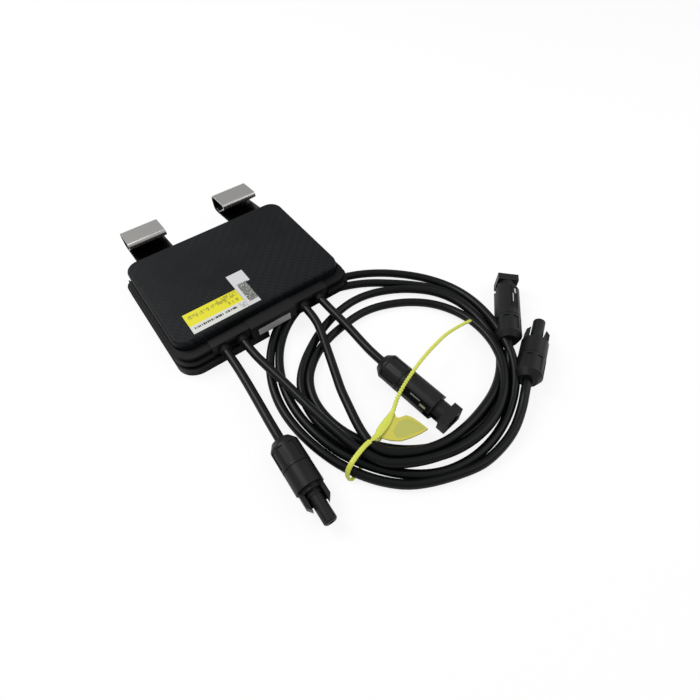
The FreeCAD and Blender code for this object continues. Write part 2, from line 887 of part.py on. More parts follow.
# Storage inductor: a flat core with two windows and one winding round its middle leg
CORE_MIDDLE = "(-dims.core_left + dims.core_width / 2)"
CORE_LEVEL = "(%s + (dims.winding_height - dims.core_height) / 2)" % BOARD_TOP
core_block = box(
    "core_block",
    ("-dims.core_left", "-dims.core_front", CORE_LEVEL),
    ("-dims.core_left + dims.core_width", "-dims.core_front + dims.core_depth", CORE_LEVEL + " + dims.core_height"),
)
core_windows = []
for sign, word in SIDES:
    near = "%s + %d * dims.core_leg / 2" % (CORE_MIDDLE, sign)
    far = "%s + %d * (dims.core_width / 2 - dims.core_rim)" % (CORE_MIDDLE, sign)
    low_x, high_x = (far, near) if sign < 0 else (near, far)
    core_windows.append(
        box(
            "core_window_" + word,
            (low_x, "-dims.core_front + dims.core_rim", CORE_LEVEL + " - %g" % BEYOND),
            (
                high_x,
                "-dims.core_front + dims.core_depth - dims.core_rim",
                CORE_LEVEL + " + dims.core_height + %g" % BEYOND,
            ),
        )
    )
node("inductor_core", cut("core_cut", core_block, *core_windows))
winding_half = "(dims.core_width / 2 - dims.core_rim - dims.winding_gap)"
winding_front = "(-dims.core_front + (dims.core_depth - dims.winding_length) / 2)"
winding_block = box(
    "winding_block",
    ("%s - %s" % (CORE_MIDDLE, winding_half), winding_front, BOARD_TOP),
    (
        "%s + %s" % (CORE_MIDDLE, winding_half),
        winding_front + " + dims.winding_length",
        BOARD_TOP + " + dims.winding_height",
    ),
)
winding_hole = box(
    "winding_hole",
    (
        CORE_MIDDLE + " - dims.core_leg / 2 - dims.winding_gap",
        winding_front + " - %g" % BEYOND,
        CORE_LEVEL + " - dims.winding_gap",
    ),
    (
        CORE_MIDDLE + " + dims.core_leg / 2 + dims.winding_gap",
        winding_front + " + dims.winding_length + %g" % BEYOND,
        CORE_LEVEL + " + dims.core_height + dims.winding_gap",
    ),
)


def along_y(edge):
    """True for a straight edge along Y."""
    ends = edge.Vertexes
    if len(ends) != 2:
        return False
    step = ends[1].Point - ends[0].Point
    return abs(step.x) + abs(step.z) < 1e-6


winding_corner = 0.9 * (size("winding_height") - size("core_height")) / 2
winding_round = rounded("winding_round", winding_block, winding_corner, along_y)
node("inductor_winding", cut("winding_cut", winding_round, winding_hole))

# Choke: a ring core lying flat
choke_ring = cut(
    "choke_ring",
    cylinder("choke_outer", ("-dims.choke_x", "dims.choke_y", BOARD_TOP), "dims.choke_radius", "dims.choke_height"),
    cylinder(
        "choke_inner",
        ("-dims.choke_x", "dims.choke_y", BOARD_TOP + " - %g" % BEYOND),
        "dims.choke_bore",
        "dims.choke_height + 2 * %g" % BEYOND,
    ),
)
choke_rounding = size("choke_height") / 4
node("filter_choke", rounded("choke_round", choke_ring, choke_rounding, lambda edge: len(edge.Vertexes) == 1))

# Capacitors: four cans in a square
cans = []
for column in (0, 1):
    for line in (0, 1):
        x_text = "dims.capacitor_x + %d * dims.capacitor_pitch" % column
        y_text = "-dims.capacitor_y + %d * dims.capacitor_pitch" % line
        straight = "dims.capacitor_height - dims.capacitor_bevel"
        can = cylinder("can", (x_text, y_text, BOARD_TOP), "dims.capacitor_radius", straight)
        crown = cone(
            "can_crown",
            (x_text, y_text, "%s + %s" % (BOARD_TOP, straight)),
            "dims.capacitor_radius",
            "dims.capacitor_radius - dims.capacitor_bevel",
            "dims.capacitor_bevel",
        )
        cans.append(fuse("capacitor", can, crown))
node("capacitors", fuse("capacitor_group", *cans))

# Transistors stand beside the spreader's leg, with a pad between
DEVICES = 4
SPREADER_TOP = "(%s - dims.pad_thickness)" % CEILING
TRANSISTOR_X = "(dims.spreader_x + dims.spreader_leg + dims.pad_thickness)"
LEG_LENGTH = "dims.transistor_leg"
devices = []
for index in range(DEVICES):
    front = "-dims.transistor_y + %d * dims.transistor_pitch" % index
    case = box(
        "transistor_case",
        (TRANSISTOR_X, front, "%s + %s" % (BOARD_TOP, LEG_LENGTH)),
        (
            TRANSISTOR_X + " + dims.transistor_depth",
            front + " + dims.transistor_width",
            "%s + %s + dims.transistor_height" % (BOARD_TOP, LEG_LENGTH),
        ),
    )
    legs = box(
        "transistor_legs",
        (TRANSISTOR_X + " + dims.transistor_depth * 0.4", front + " + dims.transistor_width * 0.2", BOARD_TOP),
        (
            TRANSISTOR_X + " + dims.transistor_depth * 0.6",
            front + " + dims.transistor_width * 0.8",
            "%s + %s" % (BOARD_TOP, LEG_LENGTH),
        ),
    )
    devices.append(fuse("transistor", case, legs))
node("power_transistors", fuse("transistor_group", *devices))
ROW_LENGTH = "(%d * dims.transistor_pitch + dims.transistor_width)" % (DEVICES - 1)
spreader_leg = box(
    "spreader_leg_plate",
    ("dims.spreader_x", "-dims.transistor_y", BOARD_TOP),
    ("dims.spreader_x + dims.spreader_leg", "-dims.transistor_y + " + ROW_LENGTH, SPREADER_TOP),
)
spreader_plate = box(
    "spreader_plate",
    (
        "dims.spreader_x + dims.spreader_leg - dims.spreader_reach",
        "-dims.transistor_y",
        SPREADER_TOP + " - dims.spreader_thickness",
    ),
    ("dims.spreader_x + dims.spreader_leg", "-dims.transistor_y + " + ROW_LENGTH, SPREADER_TOP),
)
node("heat_spreader", fuse("spreader", spreader_leg, spreader_plate))
upper_pad = box(
    "upper_pad",
    ("dims.spreader_x + dims.spreader_leg - dims.spreader_reach", "-dims.transistor_y", SPREADER_TOP),
    ("dims.spreader_x + dims.spreader_leg", "-dims.transistor_y + " + ROW_LENGTH, CEILING),
)
side_pad = box(
    "side_pad",
    ("dims.spreader_x + dims.spreader_leg", "-dims.transistor_y", BOARD_TOP + " + " + LEG_LENGTH),
    (TRANSISTOR_X, "-dims.transistor_y + " + ROW_LENGTH, "%s + %s + dims.transistor_height" % (BOARD_TOP, LEG_LENGTH)),
)
node("thermal_pads", fuse("pad_group", upper_pad, side_pad))

# Control module on a pin header
header = box(
    "header_strip",
    ("-dims.control_width * 0.42", "dims.control_y - dims.control_depth / 2", BOARD_TOP),
    ("dims.control_width * 0.42", "dims.control_y - dims.control_depth / 2 + 2.5", BOARD_TOP + " + dims.header_height"),
)
node("pin_header", header)
CONTROL_LEVEL = "(%s + dims.header_height)" % BOARD_TOP
control_board = box(
    "control_board",
    ("-dims.control_width / 2", "dims.control_y - dims.control_depth / 2", CONTROL_LEVEL),
    ("dims.control_width / 2", "dims.control_y + dims.control_depth / 2", CONTROL_LEVEL + " + dims.control_thickness"),
)
shield = box(
    "control_shield",
    ("-dims.can_width / 2", "dims.control_y - dims.control_depth / 4", CONTROL_LEVEL + " + dims.control_thickness"),
    (
        "dims.can_width / 2",
        "dims.control_y + dims.control_depth / 2 - 1",
        CONTROL_LEVEL + " + dims.control_thickness + dims.can_height",
    ),
)
node("control_module", fuse("control", control_board, shield))

# Labels: plain foils on the cover and on the connection block
large_label = [
    corner("large_label_left", "large_label_front", -1, -1),
    corner("large_label_right", "large_label_front", -1, -1),
    corner("large_label_right", "large_label_rear", -1, -1),
    corner("large_label_left", "large_label_rear", -1, -1),
]
node("large_label", extruded("large_label_foil", large_label, "dims.cover_top", "dims.label_thickness"))
small_label = [
    corner("small_label_left", "small_label_front", -1, -1),
    corner("small_label_narrow_right", "small_label_front", -1, -1),
    corner("small_label_narrow_right", "small_label_step", -1, -1),
    corner("small_label_right", "small_label_step", 1, -1),
    corner("small_label_right", "small_label_rear", 1, -1),
    corner("small_label_left", "small_label_rear", -1, -1),
]
node("small_label", extruded("small_label_foil", small_label, "dims.cover_top", "dims.label_thickness"))
front_label = box(
    "front_label_foil",
    ("-dims.front_label_width / 2", "-dims.block_centre_front - dims.label_thickness", "dims.front_label_low"),
    ("dims.front_label_width / 2", "-dims.block_centre_front", "dims.front_label_high"),
)
node("front_label", front_label)


# Lines with rounded corners: clips, leads and the tie


def rounded_line(points, radii):
    """Straight runs joined by arcs that touch both. One radius for each inner point."""
    edges = []
    start = points[0]
    for index in range(1, len(points) - 1):
        here = points[index]
        into = (here - points[index - 1]).normalize()
        out = (points[index + 1] - here).normalize()
        turn = into.getAngle(out)
        reach = radii[index - 1] * math.tan(turn / 2)
        first = here - into * reach
        last = here + out * reach
        inward = (out - into).normalize()
        middle = here + inward * (radii[index - 1] * (1 / math.cos(turn / 2) - 1))
        edges.append(Part.LineSegment(start, first).toShape())
        edges.append(Part.Arc(first, middle, last).toShape())
        start = last
    edges.append(Part.LineSegment(start, points[-1]).toShape())
    return Part.Wire(edges)


BEND_SHARE = 0.45


def lead_line(points):
    """A lead's middle line. Each bend uses a set share of the shorter run beside it."""
    radii = []
    for index in range(1, len(points) - 1):
        into = points[index] - points[index - 1]
        out = points[index + 1] - points[index]
        turn = into.getAngle(out)
        radii.append(BEND_SHARE * min(into.Length, out.Length) / math.tan(turn / 2))
    return rounded_line(points, radii), min(radii)


def tube(points, radius):
    """A round solid along a lead's middle line."""
    line, tightest = lead_line(points)
    axis = points[1] - points[0]
    profile = Part.Wire(Part.makeCircle(radius, points[0], axis))
    return line.makePipeShell([profile], True, False), line.Length, tightest


# Spring clips: a strip from the socket out over the rear ledge, folded back to a rolled lip, its end turned in
CLIP_MIDDLE = (
    ("clip_inner_end", "clip_level"),
    ("clip_bend_start", "clip_level"),
    ("clip_low_reach", "clip_low_level"),
    ("clip_outer_end", "clip_low_level"),
    ("clip_outer_end", "clip_leaf_level"),
    ("clip_lip_y", "clip_lip_level"),
    ("clip_lip_y", "clip_fold_level"),
    ("clip_tongue_y", "clip_tongue_level"),
    ("clip_tip_y", "clip_tip_level"),
)
CLIP_BENDS = (
    12.0,
    2.0,
    3.2,
    size("clip_bend_radius"),
    size("clip_roll_radius"),
    size("clip_roll_radius"),
    1.0,
)
for sign, word in SIDES:
    start_x = sign * (size("tray_width") / 2 - size("clip_inset")) - size("clip_width") / 2
    strip_points = [Vector(start_x, size(y_alias), size(z_alias)) for y_alias, z_alias in CLIP_MIDDLE]
    strip_outline = rounded_line(strip_points, CLIP_BENDS).makeOffset2D(
        size("clip_thickness") / 2, 0, False, False, False
    )
    strip = Part.Face(strip_outline).extrude(Vector(size("clip_width"), 0, 0))
    node("clip_" + word, feature("clip_strip_" + word, strip))

# Connectors. Local frame: Z along the connector from the nut's rear, X up. Each has a nut that turns on the body
CONNECTORS = (
    ("input_plug", (-44.6, -152.5, 10.9), (-0.05, -0.9944, -0.048)),
    ("input_socket", (40.9, -144.8, 9.8), (0.1116, -0.9933, -0.01)),
    ("output_socket", (121.8, -183.3, 10.1), (0.7272, 0.6853, -0.017)),
    ("output_plug", (106.2, -212.9, 10.9), (0.857, 0.509, -0.048)),
)
starts = {name: Vector(*start) for name, start, _ in CONNECTORS}
directions = {name: Vector(*direction).normalize() for name, _, direction in CONNECTORS}


def on_axis(name, distance):
    """The point of a connector's axis at a distance from the nut's rear."""
    return starts[name] + directions[name] * distance


def connector_frame(name):
    forward = directions[name]
    upward = (Vector(0, 0, 1) - forward * forward.z).normalize()
    return Placement(starts[name], Rotation(upward, forward.cross(upward), forward, "ZXY"))


def ring_profile(inner, outer, low, high):
    return [(inner, low), (outer, low), (outer, high), (inner, high)]


def length_pair(alias, text=None, offset=0.0):
    """A cell's expression with its number, for a turned profile."""
    if offset:
        return "dims.%s + %g" % (alias, offset), size(alias) + offset
    return "dims." + alias, size(alias)


ZERO = ("0", 0.0)


def nut(name):
    """A hollow union nut: a shoulder at the rear, grip flats round the front part."""
    profile = [
        (length_pair("nut_bore_radius"), ZERO),
        (length_pair("nut_rear_radius"), ZERO),
        (length_pair("nut_radius"), length_pair("nut_shoulder")),
        (length_pair("nut_radius"), length_pair("nut_length")),
        (length_pair("nut_cavity_radius"), length_pair("nut_length")),
        (length_pair("nut_cavity_radius"), length_pair("seal_start", offset=-0.2)),
        (length_pair("nut_bore_radius"), length_pair("seal_start", offset=-0.2)),
    ]
    body = turned(name + "_nut_turned", profile)
    grips = []
    for index in range(8):
        angle = math.radians(45 * index + 22.5)
        outward = Vector(math.cos(angle), math.sin(angle), 0)
        grip = document.addObject("Part::Box", "%s_grip_%d" % (name, index + 1))
        bind(grip, Length="dims.nut_flat_depth + 1", Width="dims.nut_radius * 0.42", Height="dims.nut_length * 0.6")
        grip.Placement = Placement(
            outward * (size("nut_radius") - size("nut_flat_depth"))
            - Vector(-math.sin(angle), math.cos(angle), 0) * (size("nut_radius") * 0.21)
            + Vector(0, 0, size("nut_shoulder") + 1.5),
            Rotation(outward, Vector(-math.sin(angle), math.cos(angle), 0), Vector(0, 0, 1), "ZXY"),
        )
        grips.append(grip)
    made = cut(name + "_nut_cut", body, *grips)
    made.Placement = connector_frame(name)
    return node(name + "_nut", made)


def seal(name):
    """The rubber sleeve that the nut presses round the lead."""
    inner = ("dims.lead_diameter / 2 + dims.fit_gap", size("lead_diameter") / 2 + size("fit_gap"))
    outer = ("dims.nut_cavity_radius - dims.shell_gap", size("nut_cavity_radius") - size("shell_gap"))
    high = ("dims.seal_start + dims.seal_length", size("seal_start") + size("seal_length"))
    made = turned(name + "_seal_turned", ring_profile(inner, outer, length_pair("seal_start"), high))
    made.Placement = connector_frame(name)
    return node(name + "_seal", made)


def inner_steps():
    """The steps of a body's bore: room for the lead, then for the contact's crimped end."""
    lead_room = ("dims.nut_bore_radius", size("nut_bore_radius"))
    crimp_room = ("dims.contact_crimp_radius + dims.fit_gap", size("contact_crimp_radius") + size("fit_gap"))
    contact_room = ("dims.contact_radius + dims.fit_gap", size("contact_radius") + size("fit_gap"))
    return lead_room, crimp_room, contact_room


CRIMP_END = 22.0


def contact(name, tip, pin_from=None):
    """A turned contact. A socket contact has a bore at its tip, a pin contact narrows to a pin."""
    low = length_pair("lead_in_nut", offset=0.1)
    crimp_end = ("%g" % CRIMP_END, CRIMP_END)
    end = ("%g" % tip, tip)
    crimp = length_pair("contact_crimp_radius")
    stem = length_pair("contact_radius")
    if pin_from is None:
        bore = length_pair("contact_bore_radius")
        bore_floor = ("%g" % (tip - 14.0), tip - 14.0)
        profile = [(ZERO, low), (crimp, low), (crimp, crimp_end), (stem, crimp_end), (stem, end), (bore, end)]
        profile += [(bore, bore_floor), (ZERO, bore_floor)]
    else:
        pin = length_pair("contact_pin_radius")
        pin_start = ("%g" % pin_from, pin_from)
        profile = [(ZERO, low), (crimp, low), (crimp, crimp_end), (stem, crimp_end), (stem, pin_start)]
        profile += [(pin, pin_start), (pin, end), (ZERO, end)]
    made = turned(name + "_contact_turned", profile)
    made.Placement = connector_frame(name)
    return node(name + "_contact", made)


def plug(name):
    """The plug: spigot, barrel, collar, and a round nose between two wings that end in arrow tips."""
    lead_room, crimp_room, contact_room = inner_steps()
    spigot_end = ("dims.nut_length + dims.nut_gap", size("nut_length") + size("nut_gap"))
    groove_low = length_pair("plug_groove_start")
    groove_high = (
        "dims.plug_groove_start + dims.plug_groove_width",
        size("plug_groove_start") + size("plug_groove_width"),
    )
    groove_floor = (
        "dims.plug_nose_radius - dims.plug_groove_depth",
        size("plug_nose_radius") - size("plug_groove_depth"),
    )
    root = length_pair("plug_root_radius")
    nose = length_pair("plug_nose_radius")
    crimp_high = ("%g" % (CRIMP_END + 0.1), CRIMP_END + 0.1)
    profile = [
        (lead_room, length_pair("spigot_start")),
        (length_pair("spigot_radius"), length_pair("spigot_start")),
        (length_pair("spigot_radius"), spigot_end),
        (length_pair("plug_barrel_radius"), spigot_end),
        (length_pair("plug_barrel_radius"), length_pair("plug_barrel_end")),
        (length_pair("plug_collar_radius"), length_pair("plug_barrel_end")),
        (length_pair("plug_collar_radius"), length_pair("plug_collar_end")),
        (root, length_pair("plug_collar_end")),
        (root, groove_low),
        (groove_floor, groove_low),
        (groove_floor, groove_high),
        (nose, groove_high),
        (nose, length_pair("plug_length", offset=-1.0)),
        (("dims.plug_nose_radius - 0.9", size("plug_nose_radius") - 0.9), length_pair("plug_length")),
        (contact_room, length_pair("plug_length")),
        (contact_room, crimp_high),
        (crimp_room, crimp_high),
        (crimp_room, length_pair("lead_in_nut", offset=0.1)),
        (lead_room, length_pair("lead_in_nut", offset=0.1)),
    ]
    body = turned(name + "_turned", profile)
    wings = []
    for sign, word in SIDES:
        inner = sign * (size("wing_reach") - size("wing_thickness"))
        outer = sign * size("wing_reach")
        end = size("wing_end")
        outline = [
            Vector(0, inner, size("wing_root")),
            Vector(0, outer, size("wing_root")),
            Vector(0, outer, end - size("wing_slant")),
            Vector(0, inner, end),
        ]
        wing_face = Part.Face(Part.makePolygon(outline + [outline[0]]))
        wing_shape = wing_face.extrude(Vector(size("wing_height"), 0, 0))
        wing_shape.translate(Vector(-size("wing_height") / 2, 0, 0))
        wings.append(feature("%s_wing_%s" % (name, word), wing_shape))
    cradle_level = "(dims.wing_reach - dims.wing_thickness + dims.cradle_thickness)"
    cradle = box(
        name + "_cradle",
        ("-" + cradle_level, "-dims.wing_reach + dims.wing_thickness / 2", "dims.wing_root"),
        (
            "-%s + dims.cradle_thickness" % cradle_level,
            "dims.wing_reach - dims.wing_thickness / 2",
            "dims.wing_end - dims.wing_slant",
        ),
    )
    wing_foot = "-dims.wing_height / 2"
    sills = [
        box(
            "%s_sill_%s" % (name, word),
            ("-" + cradle_level, start, "dims.wing_root"),
            (wing_foot, end_side, "dims.wing_end - dims.wing_slant"),
        )
        for word, start, end_side in (
            ("left", "-dims.wing_reach + dims.wing_thickness / 4", "-dims.wing_reach + dims.wing_thickness"),
            ("right", "dims.wing_reach - dims.wing_thickness", "dims.wing_reach - dims.wing_thickness / 4"),
        )
    ]
    winged = fuse(name + "_winged", body, cradle, *(wings + sills))
    made = cut(name + "_bored", winged, bore_tool(name, "plug_collar_end"))
    made.Placement = connector_frame(name)
    node(name + "_body", made)
    ring_outer = ("dims.plug_nose_radius + 0.35", size("plug_nose_radius") + 0.35)
    ring_inner = (
        "dims.plug_nose_radius - dims.plug_groove_depth + dims.fit_gap",
        size("plug_nose_radius") - size("plug_groove_depth") + size("fit_gap"),
    )
    ring_low = length_pair("plug_groove_start", offset=0.2)
    ring_high = (
        "dims.plug_groove_start - 0.2 + dims.plug_groove_width",
        size("plug_groove_start") - 0.2 + size("plug_groove_width"),
    )
    ring = turned(name + "_o_ring_turned", ring_profile(ring_inner, ring_outer, ring_low, ring_high))
    ring.Placement = connector_frame(name)
    node(name + "_o_ring", ring)


def bore_tool(name, end_alias):
    """The room for the contact through wings that reach in to the barrel."""
    return cylinder(
        name + "_contact_room",
        ("0", "0", "%g" % (CRIMP_END + 0.1)),
        "dims.contact_radius + dims.fit_gap",
        "dims.%s - %g" % (end_alias, CRIMP_END),
    )


def socket(name):
    """The socket: spigot, wide barrel, neck and a squarish collar, with a deep bore round its pin."""
    lead_room, crimp_room, contact_room = inner_steps()
    spigot_end = ("dims.nut_length + dims.nut_gap", size("nut_length") + size("nut_gap"))
    crimp_high = ("%g" % (CRIMP_END + 0.1), CRIMP_END + 0.1)
    bore = length_pair("socket_bore_radius")
    profile = [
        (lead_room, length_pair("spigot_start")),
        (length_pair("spigot_radius"), length_pair("spigot_start")),
        (length_pair("spigot_radius"), spigot_end),
        (length_pair("socket_barrel_radius"), spigot_end),
        (length_pair("socket_barrel_radius"), length_pair("socket_barrel_end")),
        (length_pair("socket_neck_radius"), length_pair("socket_barrel_end")),
        (length_pair("socket_neck_radius"), length_pair("socket_length")),
        (bore, length_pair("socket_length")),
        (bore, length_pair("socket_bore_start")),
        (contact_room, length_pair("socket_bore_start")),
        (contact_room, crimp_high),
        (crimp_room, crimp_high),
        (crimp_room, length_pair("lead_in_nut", offset=0.1)),
        (lead_room, length_pair("lead_in_nut", offset=0.1)),
    ]
    body = turned(name + "_turned", profile)
    collar = box(
        name + "_collar",
        ("-dims.socket_collar_height / 2", "-dims.socket_collar_side / 2", "dims.socket_neck_end"),
        ("dims.socket_collar_height / 2", "dims.socket_collar_side / 2", "dims.socket_length"),
    )
    hole = cylinder(
        name + "_bore",
        ("0", "0", "dims.socket_bore_start"),
        "dims.socket_bore_radius",
        "dims.socket_length - dims.socket_bore_start + 1",
    )
    window = box(
        name + "_window",
        (
            "-dims.socket_window_height / 2",
            "-dims.socket_collar_side",
            "dims.socket_window_end - dims.socket_window_length",
        ),
        ("dims.socket_window_height / 2", "dims.socket_collar_side", "dims.socket_window_end"),
    )
    made = cut(name + "_bored", fuse(name + "_collared", body, collar), hole, window)
    made.Placement = connector_frame(name)
    node(name + "_body", made)


for name, _, _ in CONNECTORS:
    if name.endswith("plug"):
        plug(name)
        contact(name, size("plug_length") - 1.0)
    else:
        socket(name)
        contact(name, size("socket_length") - 8.0, pin_from=size("socket_bore_start") + 1.0)
    nut(name)
    seal(name)

# Leads: four short ones from the housing, two long tails that leave the coil. Points lie on the middle line
lead_radius = size("lead_diameter") / 2
exit_y = -size("lead_exit")
lead_level = size("lead_level")
inner_x = size("lead_inner_x")
outer_x = size("lead_outer_x")
LEAD_PATHS = {
    "input_lead_left": [
        Vector(-outer_x, exit_y, lead_level),
        Vector(-outer_x, -86.0, lead_level),
        Vector(-40.6, -105.0, 10.3),
        Vector(-42.2, -124.0, 9.9),
        on_axis("input_plug", -8),
        on_axis("input_plug", size("lead_in_nut")),
    ],
    "input_lead_right": [
        Vector(outer_x, exit_y, lead_level),
        Vector(outer_x, -84.0, lead_level),
        Vector(40.1, -98.0, 10.3),
        Vector(40.3, -112.0, 9.8),
        Vector(40.0, -124.0, 9.5),
        on_axis("input_socket", -8),
        on_axis("input_socket", size("lead_in_nut")),
    ],
    "output_lead_left": [
        Vector(-inner_x, exit_y, lead_level),
        Vector(-inner_x, -86.0, lead_level),
        Vector(-23.2, -102.0, 10.2),
        Vector(-20.6, -118.4, 9.8),
        Vector(-19.0, -133.7, 9.7),
        Vector(-17.1, -148.1, 9.6),
        Vector(-15.0, -161.4, 9.5),
        Vector(-12.9, -173.0, 9.45),
        Vector(-10.8, -182.6, 9.4),
        Vector(-7.7, -190.3, 9.4),
    ],
    "output_lead_right": [
        Vector(inner_x, exit_y, lead_level),
        Vector(inner_x, -85.0, lead_level),
        Vector(22.6, -97.5, 10.2),
        Vector(18.1, -110.0, 9.9),
        Vector(14.0, -121.6, 9.7),
        Vector(9.7, -133.4, 9.6),
        Vector(5.5, -144.7, 9.6),
        Vector(2.6, -156.3, 9.6),
        Vector(-0.2, -167.4, 9.5),
        Vector(-1.9, -176.4, 9.45),
        Vector(-2.6, -186.3, 9.4),
    ],
    "output_tail_socket": [
        Vector(104.0, -199.9, 4.2),
        Vector(110.5, -195.0, 7.4),
        on_axis("output_socket", -6),
        on_axis("output_socket", size("lead_in_nut")),
    ],
    "output_tail_plug": [
        Vector(38.6, -233.0, 3.2),
        Vector(54.7, -233.9, 3.6),
        Vector(73.7, -230.7, 5.6),
        Vector(89.9, -223.8, 8.2),
        on_axis("output_plug", -8),
        on_axis("output_plug", size("lead_in_nut")),
    ],
}
for name, points in LEAD_PATHS.items():
    shape, length, tightest = tube(points, lead_radius)
    print("%s length %.1f, tightest bend %.1f" % (name, length, tightest))
    node(name, feature(name + "_tube", shape))

# Tie: a loop round the coil and the two leads beside it, a head, a tag plate, and the free end laid over
TIE_MIDDLE = Vector(1.0, -184.7, 0)
TIE_ACROSS = Vector(-0.966, -0.257, 0).normalize()
TIE_SIDE = Vector(-TIE_ACROSS.y, TIE_ACROSS.x, 0)
TIE_LOOP = ((-20.0, 8.6), (-5.0, 0.75), (28.2, 0.75), (28.2, 7.4), (15.5, 13.2), (-1.0, 13.2))


def tie_loop(thickness, width):
    """A closed band in the upright plane across the coil."""
    corners = [TIE_MIDDLE + TIE_ACROSS * along + Vector(0, 0, height) for along, height in TIE_LOOP]
    outline = Part.makePolygon(corners + [corners[0]])
    outer = Part.Face(outline.makeOffset2D(thickness / 2, 0))
    inner = Part.Face(outline.makeOffset2D(-thickness / 2, 0))
    band = outer.cut(inner).extrude(TIE_SIDE * width)
    band.translate(TIE_SIDE * (-width / 2))
    return band


def strap(points, width, thickness):
    """A flat band along a line, its flat side up at the start."""
    line, _ = lead_line(points)
    along = (points[1] - points[0]).normalize()
    side = Vector(-along.y, along.x, 0).normalize() * (width / 2)
    upward = along.cross(side).normalize() * (thickness / 2)
    start = points[0]
    corners = [start - side - upward, start + side - upward, start + side + upward, start - side + upward]
    return line.makePipeShell([Part.makePolygon(corners + [corners[0]])], True, False)


TIE_STRAP = [
    Vector(20.0, -178.2, 11.2),
    Vector(26.8, -174.4, 15.0),
    Vector(39.6, -170.1, 19.5),
    Vector(55.9, -163.3, 19.0),
    Vector(80.1, -157.6, 14.0),
    Vector(99.1, -154.0, 9.0),
    Vector(113.5, -151.9, 6.2),
]
TIE_TAG = ((28.4, -183.5), (31.9, -198.2), (15.0, -195.5), (3.1, -184.1), (18.0, -178.0), (22.0, -178.5))
tag_outline = [Vector(x, y, 7.6) for x, y in TIE_TAG]
tag = Part.Face(Part.makePolygon(tag_outline + [tag_outline[0]])).extrude(Vector(0, 0, size("tie_tag_thickness")))
head_size = size("tie_head")
head_corner = TIE_MIDDLE - TIE_ACROSS * 18.6 - TIE_SIDE * (head_size / 2) + Vector(0, 0, 5.8)
tie_head = Part.makeBox(head_size, head_size, head_size)
tie_head.Placement = Placement(head_corner, Rotation(TIE_ACROSS * -1, TIE_SIDE * -1, Vector(0, 0, 1), "ZXY"))
head_shift = TIE_SIDE * head_size
tie_head.translate(head_shift)
loop = tie_loop(size("tie_thickness"), size("tie_width"))
free_end = strap(TIE_STRAP, 3.2, size("tie_thickness"))
tie_shape = loop.fuse([tie_head, tag, free_end]).removeSplitter()
node("cable_tie", feature("tie_solid", tie_shape))

# Coil: the outer shape of the wound leads. Radii of its inner and outer rim, every 15 degrees from +X
COIL_CENTRE = Vector(51.5, -141.5, 0)
INNER_RIM = (63.2, 57.5, 52.2, 47.4, 44.1, 42.4, 41.4, 40.7, 42.5, 47.7, 51.7, 57.3)
INNER_RIM += (62.5, 61.3, 60.6, 62.8, 66.5, 66.7, 65.7, 65.4, 67.3, 70.0, 70.3, 67.4)
OUTER_RIM = (86.9, 86.6, 85.0, 85.0, 86.9, 88.0, 90.5, 91.3, 90.4, 88.1, 86.5, 87.0)
OUTER_RIM += (87.1, 86.0, 87.5, 91.9, 94.3, 95.7, 91.5, 89.0, 88.0, 87.5, 86.0, 85.8)
UPPER_START = 220.0
UPPER_ANGLES = (220, 240, 255, 270, 285, 300, 315, 330, 345, 360, 375, 390, 405, 420)
UPPER_INNER = (67.0, 67.8, 67.9, 67.2, 70.0, 75.5, 73.5, 71.8, 68.8, 66.0, 70.0, 64.0, 61.0, 78.0)
UPPER_OUTER = (80.5, 82.0, 88.0, 88.5, 87.6, 86.6, 86.2, 84.8, 84.6, 85.4, 85.0, 83.6, 83.6, 85.6)


def polar(angle, radius, level):
    turn = math.radians(angle)
    return COIL_CENTRE + Vector(math.cos(turn) * radius, math.sin(turn) * radius, level)


def rim(radii, level):
    """A flat face inside a rim, its outline in two halves."""
    points = [polar(15 * index, radius, level) for index, radius in enumerate(radii)]
    points.append(points[0])
    half = len(radii) // 2
    halves = []
    for piece in (points[: half + 1], points[half:]):
        curve = Part.BSplineCurve()
        curve.interpolate(piece)
        halves.append(curve.toShape())
    return Part.Face(Part.Wire(halves))


def open_rim(angles, radii, level):
    curve = Part.BSplineCurve()
    curve.interpolate([polar(angle, radius, level) for angle, radius in zip(angles, radii)])
    return curve.toShape()


layer = size("coil_layer")
two_layers = size("coil_two_layers")
bottom = 0.05
base_layer = rim(OUTER_RIM, bottom).cut(rim(INNER_RIM, bottom)).extrude(Vector(0, 0, layer - bottom))
upper_outer = open_rim(UPPER_ANGLES, UPPER_OUTER, layer - 0.5)
upper_inner = open_rim(UPPER_ANGLES, UPPER_INNER, layer - 0.5)
start_edge = Part.LineSegment(upper_inner.Vertexes[0].Point, upper_outer.Vertexes[0].Point).toShape()
end_edge = Part.LineSegment(upper_outer.Vertexes[1].Point, upper_inner.Vertexes[1].Point).toShape()
upper_wire = Part.Wire(Part.__sortEdges__([start_edge, upper_outer, end_edge, upper_inner]))
upper_layer = Part.Face(upper_wire).extrude(Vector(0, 0, two_layers - layer + 0.5))
coil_shape = base_layer.fuse(upper_layer)
coil_room = size("coil_room")
tools = []
for name in ("input_socket", "output_socket", "output_plug"):
    tools.append(Part.makeCylinder(size("nut_radius") + 0.6, 30.0, on_axis(name, -1.0), directions[name]))
for name in ("output_lead_left", "output_lead_right", "output_tail_socket", "output_tail_plug"):
    shape, _, _ = tube(LEAD_PATHS[name], lead_radius + coil_room)
    tools.append(shape)
tools.append(tie_loop(size("tie_thickness") + 2 * 0.3, size("tie_width") + 2 * 0.3))
for tool in tools:
    coil_shape = coil_shape.cut(tool)
if len(coil_shape.Solids) > 1:
    coil_shape = max(coil_shape.Solids, key=lambda solid: solid.Volume)
node("lead_coil", feature("coil_solid", coil_shape))

